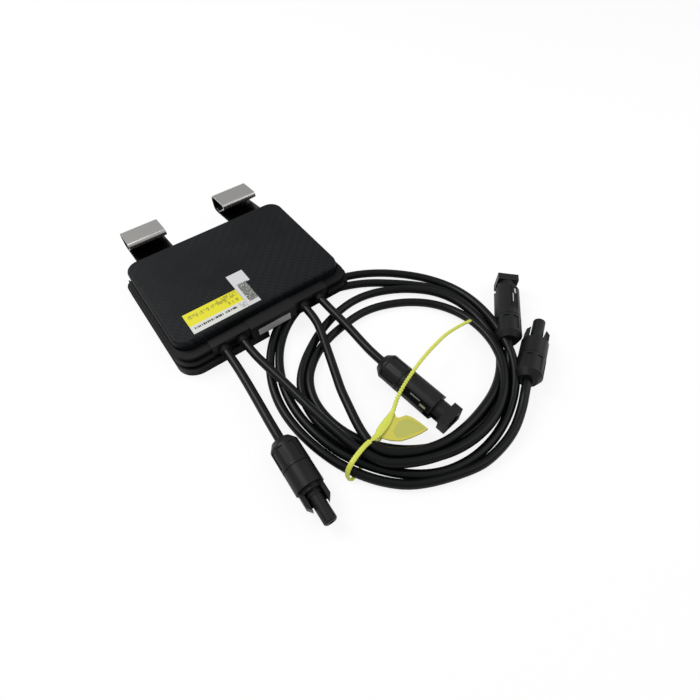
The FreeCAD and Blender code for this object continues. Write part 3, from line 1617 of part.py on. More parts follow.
# Checks, then one file for each sub-part
document.recompute()
faults = []
for made in document.Objects:
    if set(made.State) & {"Invalid", "Error"}:
        faults.append("%s %s" % (made.Name, made.State))
for label, made in nodes.items():
    shape = made.Shape
    if shape.isNull() or not shape.isValid() or shape.Volume <= 0:
        faults.append("%s has no valid solid" % label)
for fault in faults:
    print("FAULT", fault)
os.makedirs("parts", exist_ok=True)
for label, made in nodes.items():
    made.Shape.exportStep("parts/%s.step" % label)
print("%d sub-parts written" % len(nodes))
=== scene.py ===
"""A solar power optimizer with its clips, leads, coil and connectors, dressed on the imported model."""
import json
import math
from collections import namedtuple

import bpy
import bmesh
from mathutils import Matrix, Vector


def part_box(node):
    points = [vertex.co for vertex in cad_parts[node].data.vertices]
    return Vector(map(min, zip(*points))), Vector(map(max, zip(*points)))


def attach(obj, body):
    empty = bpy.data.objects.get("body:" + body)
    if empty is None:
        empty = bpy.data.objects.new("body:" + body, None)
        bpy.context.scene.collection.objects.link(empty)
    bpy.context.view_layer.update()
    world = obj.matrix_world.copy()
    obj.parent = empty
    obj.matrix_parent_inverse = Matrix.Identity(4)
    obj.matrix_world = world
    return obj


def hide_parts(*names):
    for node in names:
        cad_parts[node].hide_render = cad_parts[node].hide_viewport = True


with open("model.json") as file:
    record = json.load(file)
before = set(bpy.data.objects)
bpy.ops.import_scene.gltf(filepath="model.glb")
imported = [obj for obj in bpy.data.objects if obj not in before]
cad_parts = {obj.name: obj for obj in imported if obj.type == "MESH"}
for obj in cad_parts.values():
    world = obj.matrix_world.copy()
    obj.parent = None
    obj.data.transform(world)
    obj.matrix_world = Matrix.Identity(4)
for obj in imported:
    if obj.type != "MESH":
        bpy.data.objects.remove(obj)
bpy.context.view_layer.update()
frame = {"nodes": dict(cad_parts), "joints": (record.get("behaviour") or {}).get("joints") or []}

MM = 0.001


def mm(x, y, z=0.0):
    """A point given in millimetres, in the scene's metres."""
    return Vector((x, y, z)) * MM


def edges(node):
    """A CAD node's lowest and highest corner, in millimetres."""
    low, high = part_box(node)
    return low / MM, high / MM


# Materials
# Sockets of a Mix node that mixes colours
MIX_FIRST = 6
MIX_SECOND = 7
MIX_RESULT = 2

NOISE_ROUGHNESS = 0.55
MOTTLE_SCALE = 45.0
SHEEN_SCALE = 130.0
SHEEN_RANGE = (-0.06, 0.08)
GRAIN_DETAIL = 2.0
GRAIN_STRENGTH = 0.35
GRAIN_DEPTH = 0.00006

WEAVE_PITCH = 0.0022
WEAVE_CROSS = 0.45
WEAVE_TO_UNIT = 0.34
PATCH_SCALE = 26.0
PATCH_DETAIL = 2.0
PATCH_CONTRAST = 4.0
PATCH_START = 1.35
PATCH_LEAST = 0.08
WEAVE_SHEEN_SCALE = 60.0
WEAVE_SHEEN_RANGE = (-0.05, 0.07)
WEAVE_STRENGTH = 0.5
WEAVE_DEPTH = 0.00009
WEAVE_SPECULAR = 0.13

BRUSH_STRETCH = (40.0, 2400.0, 2400.0)
BRUSH_DETAIL = 4.0
BRUSH_SHEEN_RANGE = (-0.08, 0.1)
BRUSH_STRENGTH = 0.12
BRUSH_DEPTH = 0.00002
LABEL_SPECULAR = 0.3
SPECKLE_DETAIL = 1.0


def new_material(name, color, roughness, metallic=0.0, specular=0.5):
    material = bpy.data.materials.new(name)
    material.use_nodes = True
    shader = material.node_tree.nodes["Principled BSDF"]
    shader.inputs["Base Color"].default_value = (*color, 1.0)
    shader.inputs["Roughness"].default_value = roughness
    shader.inputs["Metallic"].default_value = metallic
    shader.inputs["Specular IOR Level"].default_value = specular
    material.diffuse_color = (*color, 1.0)
    return material


def add_node(material, kind, **values):
    made = material.node_tree.nodes.new(kind)
    for key, value in values.items():
        setattr(made, key, value)
    return made


def join(material, source, target):
    material.node_tree.links.new(source, target)


def math_node(material, operation, first, second=None):
    made = add_node(material, "ShaderNodeMath", operation=operation)
    for number, value in enumerate((first, second)):
        if value is None:
            continue
        if isinstance(value, (int, float)):
            made.inputs[number].default_value = value
        else:
            join(material, value, made.inputs[number])
    return made.outputs[0]


def object_axes(material, kind="Object"):
    """A point's place on its own object, or with Generated in its box, and an output for each axis."""
    place = add_node(material, "ShaderNodeTexCoord")
    parts = add_node(material, "ShaderNodeSeparateXYZ")
    join(material, place.outputs[kind], parts.inputs[0])
    return place.outputs[kind], parts.outputs


def noise(material, place, scale, detail=3.0):
    made = add_node(material, "ShaderNodeTexNoise")
    made.inputs["Scale"].default_value = scale
    made.inputs["Detail"].default_value = detail
    made.inputs["Roughness"].default_value = NOISE_ROUGHNESS
    join(material, place, made.inputs["Vector"])
    return made.outputs["Fac"]


def stretched(material, place, scale):
    """A place scaled along each axis."""
    made = add_node(material, "ShaderNodeMapping")
    made.inputs["Scale"].default_value = scale
    join(material, place, made.inputs["Vector"])
    return made.outputs["Vector"]


def bump(material, height, strength, distance):
    made = add_node(material, "ShaderNodeBump")
    made.inputs["Strength"].default_value = strength
    made.inputs["Distance"].default_value = distance
    join(material, height, made.inputs["Height"])
    shader = material.node_tree.nodes["Principled BSDF"]
    join(material, made.outputs["Normal"], shader.inputs["Normal"])


def vary_sheen(material, source, roughness, change):
    """Lets a 0 to 1 source vary the roughness by a lowest to a highest change."""
    made = add_node(material, "ShaderNodeMapRange")
    made.inputs["To Min"].default_value = roughness + change[0]
    made.inputs["To Max"].default_value = roughness + change[1]
    join(material, source, made.inputs["Value"])
    shader = material.node_tree.nodes["Principled BSDF"]
    join(material, made.outputs["Result"], shader.inputs["Roughness"])


def tint(material, source, dark, light):
    """Lets a 0 to 1 source vary the colour between two."""
    made = add_node(material, "ShaderNodeMix", data_type="RGBA")
    made.inputs[MIX_FIRST].default_value = (*dark, 1.0)
    made.inputs[MIX_SECOND].default_value = (*light, 1.0)
    join(material, source, made.inputs[0])
    shader = material.node_tree.nodes["Principled BSDF"]
    join(material, made.outputs[MIX_RESULT], shader.inputs["Base Color"])


def moulded(name, dark, light, roughness, grain=900.0, specular=0.4):
    """Moulded plastic or rubber: a fine grain, uneven sheen and slight mottling."""
    material = new_material(name, light, roughness, specular=specular)
    place, _ = object_axes(material)
    tint(material, noise(material, place, MOTTLE_SCALE), dark, light)
    vary_sheen(material, noise(material, place, SHEEN_SCALE), roughness, SHEEN_RANGE)
    bump(material, noise(material, place, grain, GRAIN_DETAIL), GRAIN_STRENGTH, GRAIN_DEPTH)
    return material


def woven(name, dark, light, roughness):
    """Moulded plastic with a fine diagonal weave, as on the cover's top."""
    material = new_material(name, light, roughness, specular=WEAVE_SPECULAR)
    place, axis = object_axes(material)
    turn = 2 * math.pi / WEAVE_PITCH
    rising = math_node(material, "ADD", axis[0], axis[1])
    falling = math_node(material, "SUBTRACT", axis[0], axis[1])
    along = math_node(material, "MULTIPLY", rising, turn / 2)
    across = math_node(material, "MULTIPLY", falling, turn / 4)
    wave = math_node(material, "SINE", across)
    ridge = math_node(material, "SINE", math_node(material, "ADD", along, wave))
    cross = math_node(material, "MULTIPLY", wave, WEAVE_CROSS)
    pattern = math_node(material, "ADD", ridge, cross)
    raised = math_node(material, "ADD", pattern, 1 + WEAVE_CROSS)
    unit = math_node(material, "MULTIPLY", raised, WEAVE_TO_UNIT)
    patches = noise(material, place, PATCH_SCALE, PATCH_DETAIL)
    steeper = math_node(material, "MULTIPLY", patches, PATCH_CONTRAST)
    sharper = math_node(material, "SUBTRACT", steeper, PATCH_START)
    fading = math_node(material, "MAXIMUM", math_node(material, "MINIMUM", sharper, 1.0), PATCH_LEAST)
    faded = math_node(material, "MULTIPLY", unit, fading)
    tint(material, faded, dark, light)
    vary_sheen(material, noise(material, place, WEAVE_SHEEN_SCALE), roughness, WEAVE_SHEEN_RANGE)
    bump(material, faded, WEAVE_STRENGTH, WEAVE_DEPTH)
    return material


def brushed(name, color, roughness):
    """Sheet steel with fine lines along its rolled direction."""
    material = new_material(name, color, roughness, metallic=1.0)
    place, _ = object_axes(material)
    lines = noise(material, stretched(material, place, BRUSH_STRETCH), 1.0, BRUSH_DETAIL)
    vary_sheen(material, lines, roughness, BRUSH_SHEEN_RANGE)
    bump(material, lines, BRUSH_STRENGTH, BRUSH_DEPTH)
    return material


def shade_below(material, dark, light, low, high):
    """Paints shade on what lies below a low share of the object's height, and fades it out up to a high
    share.
    """
    _, axis = object_axes(material, "Generated")
    share = add_node(material, "ShaderNodeMapRange")
    share.inputs["From Min"].default_value = low
    share.inputs["From Max"].default_value = high
    join(material, axis[2], share.inputs["Value"])
    tint(material, share.outputs["Result"], dark, light)


def band(material, axis, low, high):
    """1 where a coordinate lies between two values, 0 elsewhere."""
    above = math_node(material, "GREATER_THAN", axis, low)
    below = math_node(material, "LESS_THAN", axis, high)
    return math_node(material, "MULTIPLY", above, below)


def label(name, ground, rows, roughness=0.4):
    """A label: a ground colour with fields and rows of marks, placed by shares of its width and depth.

    A row's marks are the speckles' number across and along the label, and the noise level they start at.
    """
    material = new_material(name, ground, roughness, specular=LABEL_SPECULAR)
    place, axis = object_axes(material, "Generated")
    colour = None
    for (left, right), (near, far), ink, marks in rows:
        share = math_node(
            material,
            "MULTIPLY",
            band(material, axis[0], left, right),
            band(material, axis[1], near, far),
        )
        if marks:
            across, along, level = marks
            spread = stretched(material, place, (across, along, 1.0))
            speckle = noise(material, spread, 1.0, SPECKLE_DETAIL)
            marked = math_node(material, "GREATER_THAN", speckle, level)
            share = math_node(material, "MULTIPLY", share, marked)
        mixed = add_node(material, "ShaderNodeMix", data_type="RGBA")
        join(material, share, mixed.inputs[0])
        if colour is None:
            mixed.inputs[MIX_FIRST].default_value = (*ground, 1.0)
        else:
            join(material, colour, mixed.inputs[MIX_FIRST])
        mixed.inputs[MIX_SECOND].default_value = (*ink, 1.0)
        colour = mixed.outputs[MIX_RESULT]
    shader = material.node_tree.nodes["Principled BSDF"]
    join(material, colour, shader.inputs["Base Color"])
    return material


COVER = woven("cover_plastic", (0.0018, 0.0022, 0.0028), (0.0075, 0.0085, 0.01), 0.55)
TRAY = moulded("tray_plastic", (0.0022, 0.0024, 0.0027), (0.0062, 0.0065, 0.007), 0.5, specular=0.12)
BLOCK = moulded("block_plastic", (0.0042, 0.0044, 0.005), (0.0095, 0.0098, 0.0108), 0.48, specular=0.14)
SHELL_DARK = (0.0032, 0.0034, 0.0037)
SHELL_LIGHT = (0.0088, 0.0092, 0.0098)
SHELL = moulded("connector_plastic", SHELL_DARK, SHELL_LIGHT, 0.4, 1300.0, specular=0.22)
JACKET_DARK = (0.0014, 0.0017, 0.002)
JACKET_LIGHT = (0.0034, 0.0038, 0.0042)
JACKET = moulded("lead_jacket", JACKET_DARK, JACKET_LIGHT, 0.34, 700.0, specular=0.17)
GROMMET = moulded("grommet_rubber", (0.003, 0.003, 0.0035), (0.006, 0.006, 0.0065), 0.55, specular=0.15)
SEAL = moulded("seal_rubber", (0.005, 0.005, 0.005), (0.01, 0.01, 0.01), 0.6, specular=0.2)
# Painted shade: a clip's tongue faces the black housing, so the steel below the fold is painted darker
# to stand in for its shade and dark reflection, and the fold above it keeps the steel's colour and
# catches the light
CLIP_PAINTED_SHADE = (0.05, 0.05, 0.048)
CLIP_LIGHT = (0.46, 0.455, 0.44)
CLIP_FOLD = 0.55
CLIP_FOLD_END = 0.72
STEEL = brushed("clip_steel", CLIP_LIGHT, 0.3)
# Painted shade on the lower part of the clips' steel
shade_below(STEEL, CLIP_PAINTED_SHADE, CLIP_LIGHT, CLIP_FOLD, CLIP_FOLD_END)
BRIGHT = brushed("screw_steel", (0.5, 0.5, 0.5), 0.3)
COPPER = brushed("copper", (0.72, 0.4, 0.22), 0.3)
WINDING = moulded("winding_copper", (0.35, 0.12, 0.04), (0.5, 0.2, 0.08), 0.3)
CONTACT = brushed("contact_metal", (0.7, 0.7, 0.68), 0.22)
BOARD = moulded("board_green", (0.01, 0.08, 0.03), (0.02, 0.13, 0.05), 0.35)
FERRITE = moulded("ferrite", (0.02, 0.02, 0.022), (0.04, 0.04, 0.043), 0.6)
CAN = brushed("capacitor_metal", (0.6, 0.6, 0.62), 0.25)
DEVICE = moulded("device_plastic", (0.01, 0.01, 0.01), (0.02, 0.02, 0.02), 0.45)
SPREADER = brushed("spreader_aluminium", (0.65, 0.65, 0.66), 0.35)
PAD = moulded("pad_rubber", (0.3, 0.34, 0.38), (0.4, 0.45, 0.5), 0.7)
TIE = moulded("tie_plastic", (0.48, 0.51, 0.05), (0.62, 0.66, 0.1), 0.38, 600.0, specular=0.4)
TIE_TAG = moulded("tie_tag", (0.47, 0.47, 0.07), (0.56, 0.47, 0.075), 0.45, 600.0, specular=0.3)
TIE_FIELD = moulded("tie_tag_field", (0.37, 0.4, 0.09), (0.45, 0.41, 0.09), 0.5, 600.0, specular=0.3)
INK = (0.04, 0.04, 0.03)
FAINT_INK = (0.33, 0.3, 0.02)
PALE_INK = (0.3, 0.3, 0.31)
LARGE_LABEL = label(
    "label_yellow",
    (0.54, 0.54, 0.52),
    (
        ((0.0, 1.0), (0.37, 1.0), (0.6, 0.56, 0.012), None),
        ((0.06, 0.8), (0.66, 0.84), FAINT_INK, (34.0, 4.0, 0.5)),
        ((0.6, 0.97), (0.7, 0.96), FAINT_INK, (26.0, 6.0, 0.5)),
        ((0.68, 0.96), (0.46, 0.62), FAINT_INK, (30.0, 3.0, 0.48)),
        ((0.06, 0.84), (0.17, 0.27), INK, (70.0, 1.5, 0.46)),
        ((0.88, 0.985), (0.05, 0.31), PALE_INK, (40.0, 14.0, 0.5)),
    ),
)
SMALL_LABEL = label(
    "label_grey",
    (0.5, 0.5, 0.51),
    (((0.2, 0.82), (0.1, 0.66), (0.11, 0.115, 0.1), (26.0, 20.0, 0.39)),),
)
FRONT_LABEL = label(
    "label_silver",
    (0.34, 0.34, 0.345),
    (((0.1, 0.9), (0.0, 1.0), (0.4, 0.4, 0.405), (40.0, 1.0, 0.55)),),
    0.5,
)

NODE_MATERIALS = {
    "base_tray": TRAY,
    "cover": COVER,
    "cover_gasket": SEAL,
    "housing_screws": BRIGHT,
    "connection_block": BLOCK,
    "cable_grommet_outer_left": GROMMET,
    "cable_grommet_inner_left": GROMMET,
    "cable_grommet_inner_right": GROMMET,
    "cable_grommet_outer_right": GROMMET,
    "lead_cores": COPPER,
    "terminal_lugs": CONTACT,
    "circuit_board": BOARD,
    "board_screws": BRIGHT,
    "inductor_core": FERRITE,
    "inductor_winding": WINDING,
    "filter_choke": FERRITE,
    "capacitors": CAN,
    "power_transistors": DEVICE,
    "heat_spreader": SPREADER,
    "thermal_pads": PAD,
    "pin_header": DEVICE,
    "control_module": BOARD,
    "large_label": LARGE_LABEL,
    "small_label": SMALL_LABEL,
    "front_label": FRONT_LABEL,
    "clip_left": STEEL,
    "clip_right": STEEL,
}
CONNECTORS = ("input_plug", "input_socket", "output_socket", "output_plug")
for name in CONNECTORS:
    NODE_MATERIALS[name + "_body"] = SHELL
    NODE_MATERIALS[name + "_nut"] = SHELL
    NODE_MATERIALS[name + "_seal"] = SEAL
    NODE_MATERIALS[name + "_contact"] = CONTACT
    if name.endswith("plug"):
        NODE_MATERIALS[name + "_o_ring"] = SEAL
for name, material in NODE_MATERIALS.items():
    node = frame["nodes"][name]
    node.data.materials.clear()
    node.data.materials.append(material)

# The connectors' places come from the nuts' joints: the point is the nut's rear, and the axis runs to
# the mating end
joints = {joint["name"]: joint for joint in frame["joints"]}


def on_axis(name, distance):
    """The point of a connector's axis at a distance in millimetres from the nut's rear."""
    joint = joints[name + "_nut_turn"]
    axis = Vector(joint["axis"]).normalized()
    return Vector(joint["pos_m"]) + axis * distance * MM


def mesh_object(name, corners, faces, material, smooth=True):
    data = bpy.data.meshes.new(name)
    data.from_pydata(corners, [], faces)
    data.materials.append(material)
    data.polygons.foreach_set("use_smooth", [smooth] * len(data.polygons))
    made = bpy.data.objects.new(name, data)
    bpy.context.scene.collection.objects.link(made)
    return made


# Sockets: two slots across from each other in the barrel, each shown by a near-black strip laid on the
# barrel as painted shade of the slot's hollow, with bright metal of the contact in them. The first
# slots' turns are counted from straight up
SLOT_TURNS = {"input_socket": math.radians(58), "output_socket": math.radians(20)}
# The slot strip's near-black colour is painted shade, not the plastic's own colour
SLOT_PAINTED_SHADE = new_material("slot_painted_shade", (0.0008, 0.0008, 0.0009), 0.3, specular=0.15)
# A strip's ends along the axis, shift aside, width and height above the barrel are in millimetres
Strip = namedtuple("Strip", "name start end aside width level material slot")
STRIPS = (
    Strip("slot", 25, 46, 0, 5.4, 0.0, SLOT_PAINTED_SHADE, "connector_plastic"),
    Strip("long_glint", 30, 38, -1.3, 0.8, 0.2, CONTACT, "contact_metal"),
    Strip("short_glint", 39, 43.5, 0.6, 1.5, 0.2, CONTACT, "contact_metal"),
)
STRIP_SUNK = 0.5
RAY_START = 20.0


def add_strip(connector, strip, side, turn):
    """A thin strip along a connector's barrel, seated where a ray from outside meets the barrel."""
    body = frame["nodes"][connector + "_body"]
    axis = (on_axis(connector, 1) - on_axis(connector, 0)).normalized()
    upward = (Vector((0, 0, 1)) - axis * axis.z).normalized()
    outward = Matrix.Rotation(turn, 3, axis) @ upward
    across = axis.cross(outward)
    to_body = body.matrix_world.inverted()
    middle = on_axis(connector, (strip.start + strip.end) / 2)
    outside = to_body @ (middle + outward * RAY_START * MM)
    _, place, _, _ = body.ray_cast(outside, to_body.to_3x3() @ -outward)
    radius = (body.matrix_world @ place - middle).length / MM
    corners = []
    for distance in (strip.start, strip.end):
        for edge in (-0.5, 0.5):
            for reach in (radius - STRIP_SUNK, radius + strip.level):
                sideways = across * (strip.aside + edge * strip.width) * MM
                corners.append(on_axis(connector, distance) + outward * reach * MM + sideways)
    faces = [(0, 1, 3, 2), (4, 6, 7, 5), (0, 4, 5, 1), (2, 3, 7, 6), (0, 2, 6, 4), (1, 5, 7, 3)]
    name = "%s_%s_%s" % (connector, strip.name, side)
    made = mesh_object(name, corners, faces, strip.material, smooth=False)
    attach(made, "housing")
    return made


bpy.context.view_layer.update()
slot_strips = {}
for connector, first_turn in SLOT_TURNS.items():
    slot_strips[connector] = [
        add_strip(connector, strip, side, first_turn + turn)
        for side, turn in (("near", 0), ("far", math.pi))
        for strip in STRIPS
    ]

# Leads: one open curve for each. The points lie on the middle line and steer it
LEAD_DIAMETER = 6.14 * MM
CORD_ROUNDNESS = 5
CORD_FINENESS = 6
CORD_ORDER = 3
# Distances from a nut's rear: where a lead starts to follow the connector's axis, and where it ends
BEFORE_NUT = -8
BEFORE_OUTPUT_SOCKET = -6
IN_NUT = 10
# The coil's middle in millimetres, and the degrees between a lead's points round it
COIL_CENTRE = (51.5, -141.5)
WIND_STEP = 14

INPUT_LEFT = [
    mm(-39.45, -74.0, 10.9),
    mm(-39.45, -86.0, 10.9),
    mm(-40.6, -105.0, 10.3),
    mm(-42.2, -124.0, 9.9),
]
INPUT_RIGHT = [
    mm(39.45, -74.0, 10.9),
    mm(39.45, -84.0, 10.9),
    mm(40.1, -98.0, 10.3),
    mm(40.3, -112.0, 9.8),
    mm(40.0, -124.0, 9.5),
]
OUTPUT_LEFT = [
    mm(-25.55, -74.0, 10.9),
    mm(-25.55, -86.0, 10.9),
    mm(-23.2, -102.0, 10.2),
    mm(-20.6, -118.4, 9.8),
    mm(-19.0, -133.7, 9.7),
    mm(-17.1, -148.1, 9.6),
    mm(-15.0, -161.4, 9.5),
    mm(-12.9, -173.0, 9.45),
    mm(-10.8, -182.6, 9.4),
    mm(-7.7, -190.3, 9.4),
]
OUTPUT_RIGHT = [
    mm(25.55, -74.0, 10.9),
    mm(25.55, -85.0, 10.9),
    mm(22.6, -97.5, 10.2),
    mm(18.1, -110.0, 9.9),
    mm(14.0, -121.6, 9.7),
    mm(9.7, -133.4, 9.6),
    mm(5.5, -144.7, 9.6),
    mm(2.6, -156.3, 9.6),
    mm(-0.2, -167.4, 9.5),
    mm(-1.9, -176.4, 9.45),
    mm(-2.6, -186.3, 9.4),
]
TAIL_TO_SOCKET = [mm(104.0, -199.9, 4.2), mm(110.5, -195.0, 7.4)]
TAIL_TO_PLUG = [
    mm(38.6, -233.4, 3.2),
    mm(55.0, -234.5, 3.6),
    mm(74.5, -231.5, 5.6),
    mm(90.5, -223.5, 8.2),
]
# Knots of the coil's turns: the angle round its middle from +X in degrees, the radius and the height in
# millimetres. Between them the turns follow a smooth curve
INNER_TURNS = [
    (228, 80, 9.4),
    (254, 78.5, 9.4),
    (282, 78.5, 9.5),
    (312, 75, 9.8),
    (343, 68.5, 7),
    (375, 61, 3.1),
    (405, 50.5, 3.1),
    (435, 45.5, 3.1),
    (465, 44, 3.1),
    (495, 50.5, 3.1),
    (525, 60.5, 3.1),
    (555, 64.5, 3.1),
    (585, 67.5, 3.1),
    (615, 71, 3.1),
    (645, 74.5, 3.3),
    (675, 76, 6),
    (705, 73, 6),
    (735, 71, 5.5),
    (765, 64.5, 3.5),
    (795, 59.5, 3.1),
    (825, 55, 3.1),
    (855, 57, 3.1),
    (885, 66.5, 3.1),
    (915, 71, 3.1),
    (945, 74, 3.1),
    (975, 77, 3.1),
    (1005, 78.5, 3.1),
    (1020, 79, 3.3),
]
OUTER_TURNS = [
    (228, 73.5, 9.4),
    (253, 72.5, 9.4),
    (281, 69.5, 9.3),
    (313, 73.5, 5.5),
    (346, 78.5, 3.1),
    (375, 77, 3.1),
    (405, 70.5, 3.1),
    (435, 74.5, 3.1),
    (465, 81, 3.1),
    (495, 79, 3.1),
    (525, 76.5, 3.1),
    (555, 76.5, 3.1),
    (570, 79, 3.1),
    (585, 81, 3.1),
    (600, 85, 3.1),
    (614, 87, 3.1),
    (645, 85, 3.2),
    (672, 82.5, 9.5),
    (702, 78, 10),
    (735, 82, 4.5),
    (765, 81.5, 3.1),
    (795, 84.5, 3.1),
    (825, 87.5, 3.1),
    (855, 85, 3.1),
    (885, 83.5, 3.1),
    (915, 83, 3.1),
    (945, 88.5, 3.1),
    (960, 91, 3.1),
]
# A curve that its points steer runs a little inside them on a turn
WIND_OUTWARD = 1.0086
# Where a knot keeps its radius and its height
RADIUS = 1
HEIGHT = 2


def between(turns, angle, part):
    """The radius or height of a turn at an angle, on a smooth curve through the knots."""
    last = len(turns) - 1
    here = max(index for index in range(last) if turns[index][0] <= angle)
    slopes = []
    for index in (here, here + 1):
        before = turns[max(index - 1, 0)]
        after = turns[min(index + 1, last)]
        slopes.append((after[part] - before[part]) / (after[0] - before[0]))
    span = turns[here + 1][0] - turns[here][0]
    share = (angle - turns[here][0]) / span
    rest = 1 - share
    start = turns[here][part] * (1 + 2 * share) + slopes[0] * span * share
    finish = turns[here + 1][part] * (1 + 2 * rest) - slopes[1] * span * rest
    return start * rest ** 2 + finish * share ** 2


def wound(turns):
    """Points along the coil's turns, about WIND_STEP degrees apart."""
    first, last = turns[0][0], turns[-1][0]
    count = round((last - first) / WIND_STEP)
    points = []
    for index in range(count + 1):
        angle = first + (last - first) * index / count
        reach = between(turns, angle, RADIUS) * WIND_OUTWARD
        turn = math.radians(angle)
        level = between(turns, angle, HEIGHT)
        sideways = COIL_CENTRE[0] + reach * math.cos(turn)
        back = COIL_CENTRE[1] + reach * math.sin(turn)
        points.append(mm(sideways, back, level))
    return points


def curve_object(name, points, radius, material):
    data = bpy.data.curves.new(name, "CURVE")
    data.dimensions = "3D"
    data.bevel_depth = radius
    data.bevel_resolution = CORD_ROUNDNESS
    data.use_fill_caps = True
    data.resolution_u = CORD_FINENESS
    spline = data.splines.new("NURBS")
    spline.points.add(len(points) - 1)
    for point, place in zip(spline.points, points):
        point.co = (*place, 1.0)
    spline.order_u = CORD_ORDER
    spline.use_endpoint_u = True
    data.materials.append(material)
    made = bpy.data.objects.new(name, data)
    bpy.context.scene.collection.objects.link(made)
    return made


def into_nut(connector, before=BEFORE_NUT):
    """The last two points of a lead, on its connector's axis."""
    return [on_axis(connector, before), on_axis(connector, IN_NUT)]


CORDS = {
    "input_left": (
        INPUT_LEFT + into_nut("input_plug"),
        ("input_lead_left",),
        "input_plug",
    ),
    "input_right": (
        INPUT_RIGHT + into_nut("input_socket"),
        ("input_lead_right",),
        "input_socket",
    ),
    "output_left": (
        OUTPUT_LEFT
        + wound(INNER_TURNS)
        + TAIL_TO_SOCKET
        + into_nut("output_socket", BEFORE_OUTPUT_SOCKET),
        ("output_lead_left", "output_tail_socket", "lead_coil"),
        "output_socket",
    ),
    "output_right": (
        OUTPUT_RIGHT + wound(OUTER_TURNS) + TAIL_TO_PLUG + into_nut("output_plug"),
        ("output_lead_right", "output_tail_plug", "lead_coil"),
        "output_plug",
    ),
}
for name, (points, nodes, far_end) in CORDS.items():
    lead = curve_object(name + "_cord", points, LEAD_DIAMETER / 2, JACKET)
    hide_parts(*nodes)
    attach(lead, "housing")
    pieces = [frame["nodes"]["%s_%s" % (far_end, part)] for part in ("body", "nut", "seal", "contact")]
    pieces += slot_strips.get(far_end, [])

# Tie: one beaded band from its free end through the tag, over the coil and back below it, then the tag
# plate with a darker field. The band's knots have half its width as their last value
TIE_BAND = [
    (117, -153.5, 7.5, 1.15),
    (114, -153.5, 8.5, 1.15),
    (102, -154, 12, 1.15),
    (87.5, -155.5, 15.5, 1.2),
    (72.5, -159, 18.5, 1.2),
    (59.5, -162.5, 20, 1.2),
    (47, -166.5, 20, 1.2),
    (37, -169.5, 16.5, 1.2),
    (29.5, -172.5, 12.5, 1.25),
    (22, -177, 9.5, 1.5),
    (15, -180, 9, 2.7),
    (8, -182.5, 9.5, 2.6),
    (3.5, -184, 10, 1.9),
    (-5.5, -185.5, 13, 1.6),
    (-13, -187.5, 14, 1.6),
    (-19.5, -189.5, 13, 1.6),
    (-23.5, -191, 9, 1.6),
    (-24.5, -192.5, 4.5, 1.6),
    (-23, -194, 1.5, 1.6),
    (-16, -192, 0.9, 1.6),
    (0, -186, 0.9, 1.6),
    (12, -182, 2.4, 1.6),
    (16, -180, 7, 1.6),
]
TIE_HALF_THICKNESS = 0.7
BAND_SIDES = 12
BEAD_PITCH = 1.9
BEAD_STEPS = 6
BEAD_DEPTH = 0.18
BEAD_DEPTH_WIDE = 0.06
NARROW_HALF = 1.3
TAG_OUTLINE = [
    (22.5, -175.5),
    (23.5, -177),
    (22, -180.5),
    (23, -182),
    (28, -183.5),
    (30, -187),
    (31.5, -192.5),
    (32.5, -199),
    (27, -198.5),
    (20, -197),
    (14, -195),
    (9, -191),
    (6.5, -187.5),
    (4, -184.5),
    (3, -182.5),
    (6.5, -180),
    (10.5, -178.5),
    (16, -177),
    (20.5, -175.5),
]
TAG_FIELD = [
    (21, -184),
    (26.5, -185.5),
    (28.5, -188.5),
    (30.5, -193.5),
    (31, -197.5),
    (24, -196),
    (17.5, -194.5),
    (13, -191.5),
    (14, -187),
]
TAG_LEVEL = 7.4
TAG_THICKNESS = 1.2
TAG_EDGE = 0.4
FIELD_SUNK = 0.1
FIELD_THICKNESS = 0.16
FIELD_EDGE = 0.05
EDGE_SEGMENTS = 2


def smooth_value(before, start, finish, after, part):
    """A value between start and finish, on a cubic curve that the values before and after shape too."""
    slope = (finish - before) * part
    bend = (2 * before - 5 * start + 4 * finish - after) * part ** 2
    twist = (3 * start - before - 3 * finish + after) * part ** 3
    return 0.5 * (2 * start + slope + bend + twist)


def smooth_line(knots, spacing):
    """Points on a smooth curve through knots of any number of values, about a spacing apart."""
    ends = [knots[0]] + knots + [knots[-1]]
    made = []
    for index in range(1, len(ends) - 2):
        around = ends[index - 1 : index + 3]
        reach = math.dist(ends[index][:3], ends[index + 1][:3])
        count = max(1, round(reach / spacing))
        for step in range(count):
            made.append([smooth_value(*values, step / count) for values in zip(*around)])
    made.append(knots[-1])
    return made


def beaded_band(name, knots, material):
    """A band with an oval section that swells at every bead."""
    line = smooth_line(knots, BEAD_PITCH / BEAD_STEPS)
    places = [Vector(point[:3]) for point in line]
    corners = []
    across = None
    run = 0.0
    for index, place in enumerate(places):
        half_width = line[index][3]
        before = places[max(index - 1, 0)]
        after = places[min(index + 1, len(places) - 1)]
        along = (after - before).normalized()
        if across is None:
            across = along.cross(Vector((0, 0, 1)))
        across = (across - along * across.dot(along)).normalized()
        upward = across.cross(along)
        run += (place - before).length
        depth = BEAD_DEPTH if half_width < NARROW_HALF else BEAD_DEPTH_WIDE
        swell = 1 + depth * math.cos(2 * math.pi * run / BEAD_PITCH)
        for side in range(BAND_SIDES):
            turn = 2 * math.pi * side / BAND_SIDES
            sideways = across * (math.cos(turn) * half_width * swell)
            upwards = upward * (math.sin(turn) * TIE_HALF_THICKNESS * swell)
            corners.append((place + (sideways + upwards)) * MM)
    faces = []
    for first in range(0, len(corners) - BAND_SIDES, BAND_SIDES):
        second = first + BAND_SIDES
        for side in range(BAND_SIDES):
            after = (side + 1) % BAND_SIDES
            faces.append((first + side, first + after, second + after, second + side))
    faces.append(tuple(reversed(range(BAND_SIDES))))
    faces.append(tuple(range(len(corners) - BAND_SIDES, len(corners))))
    return mesh_object(name, corners, faces, material)


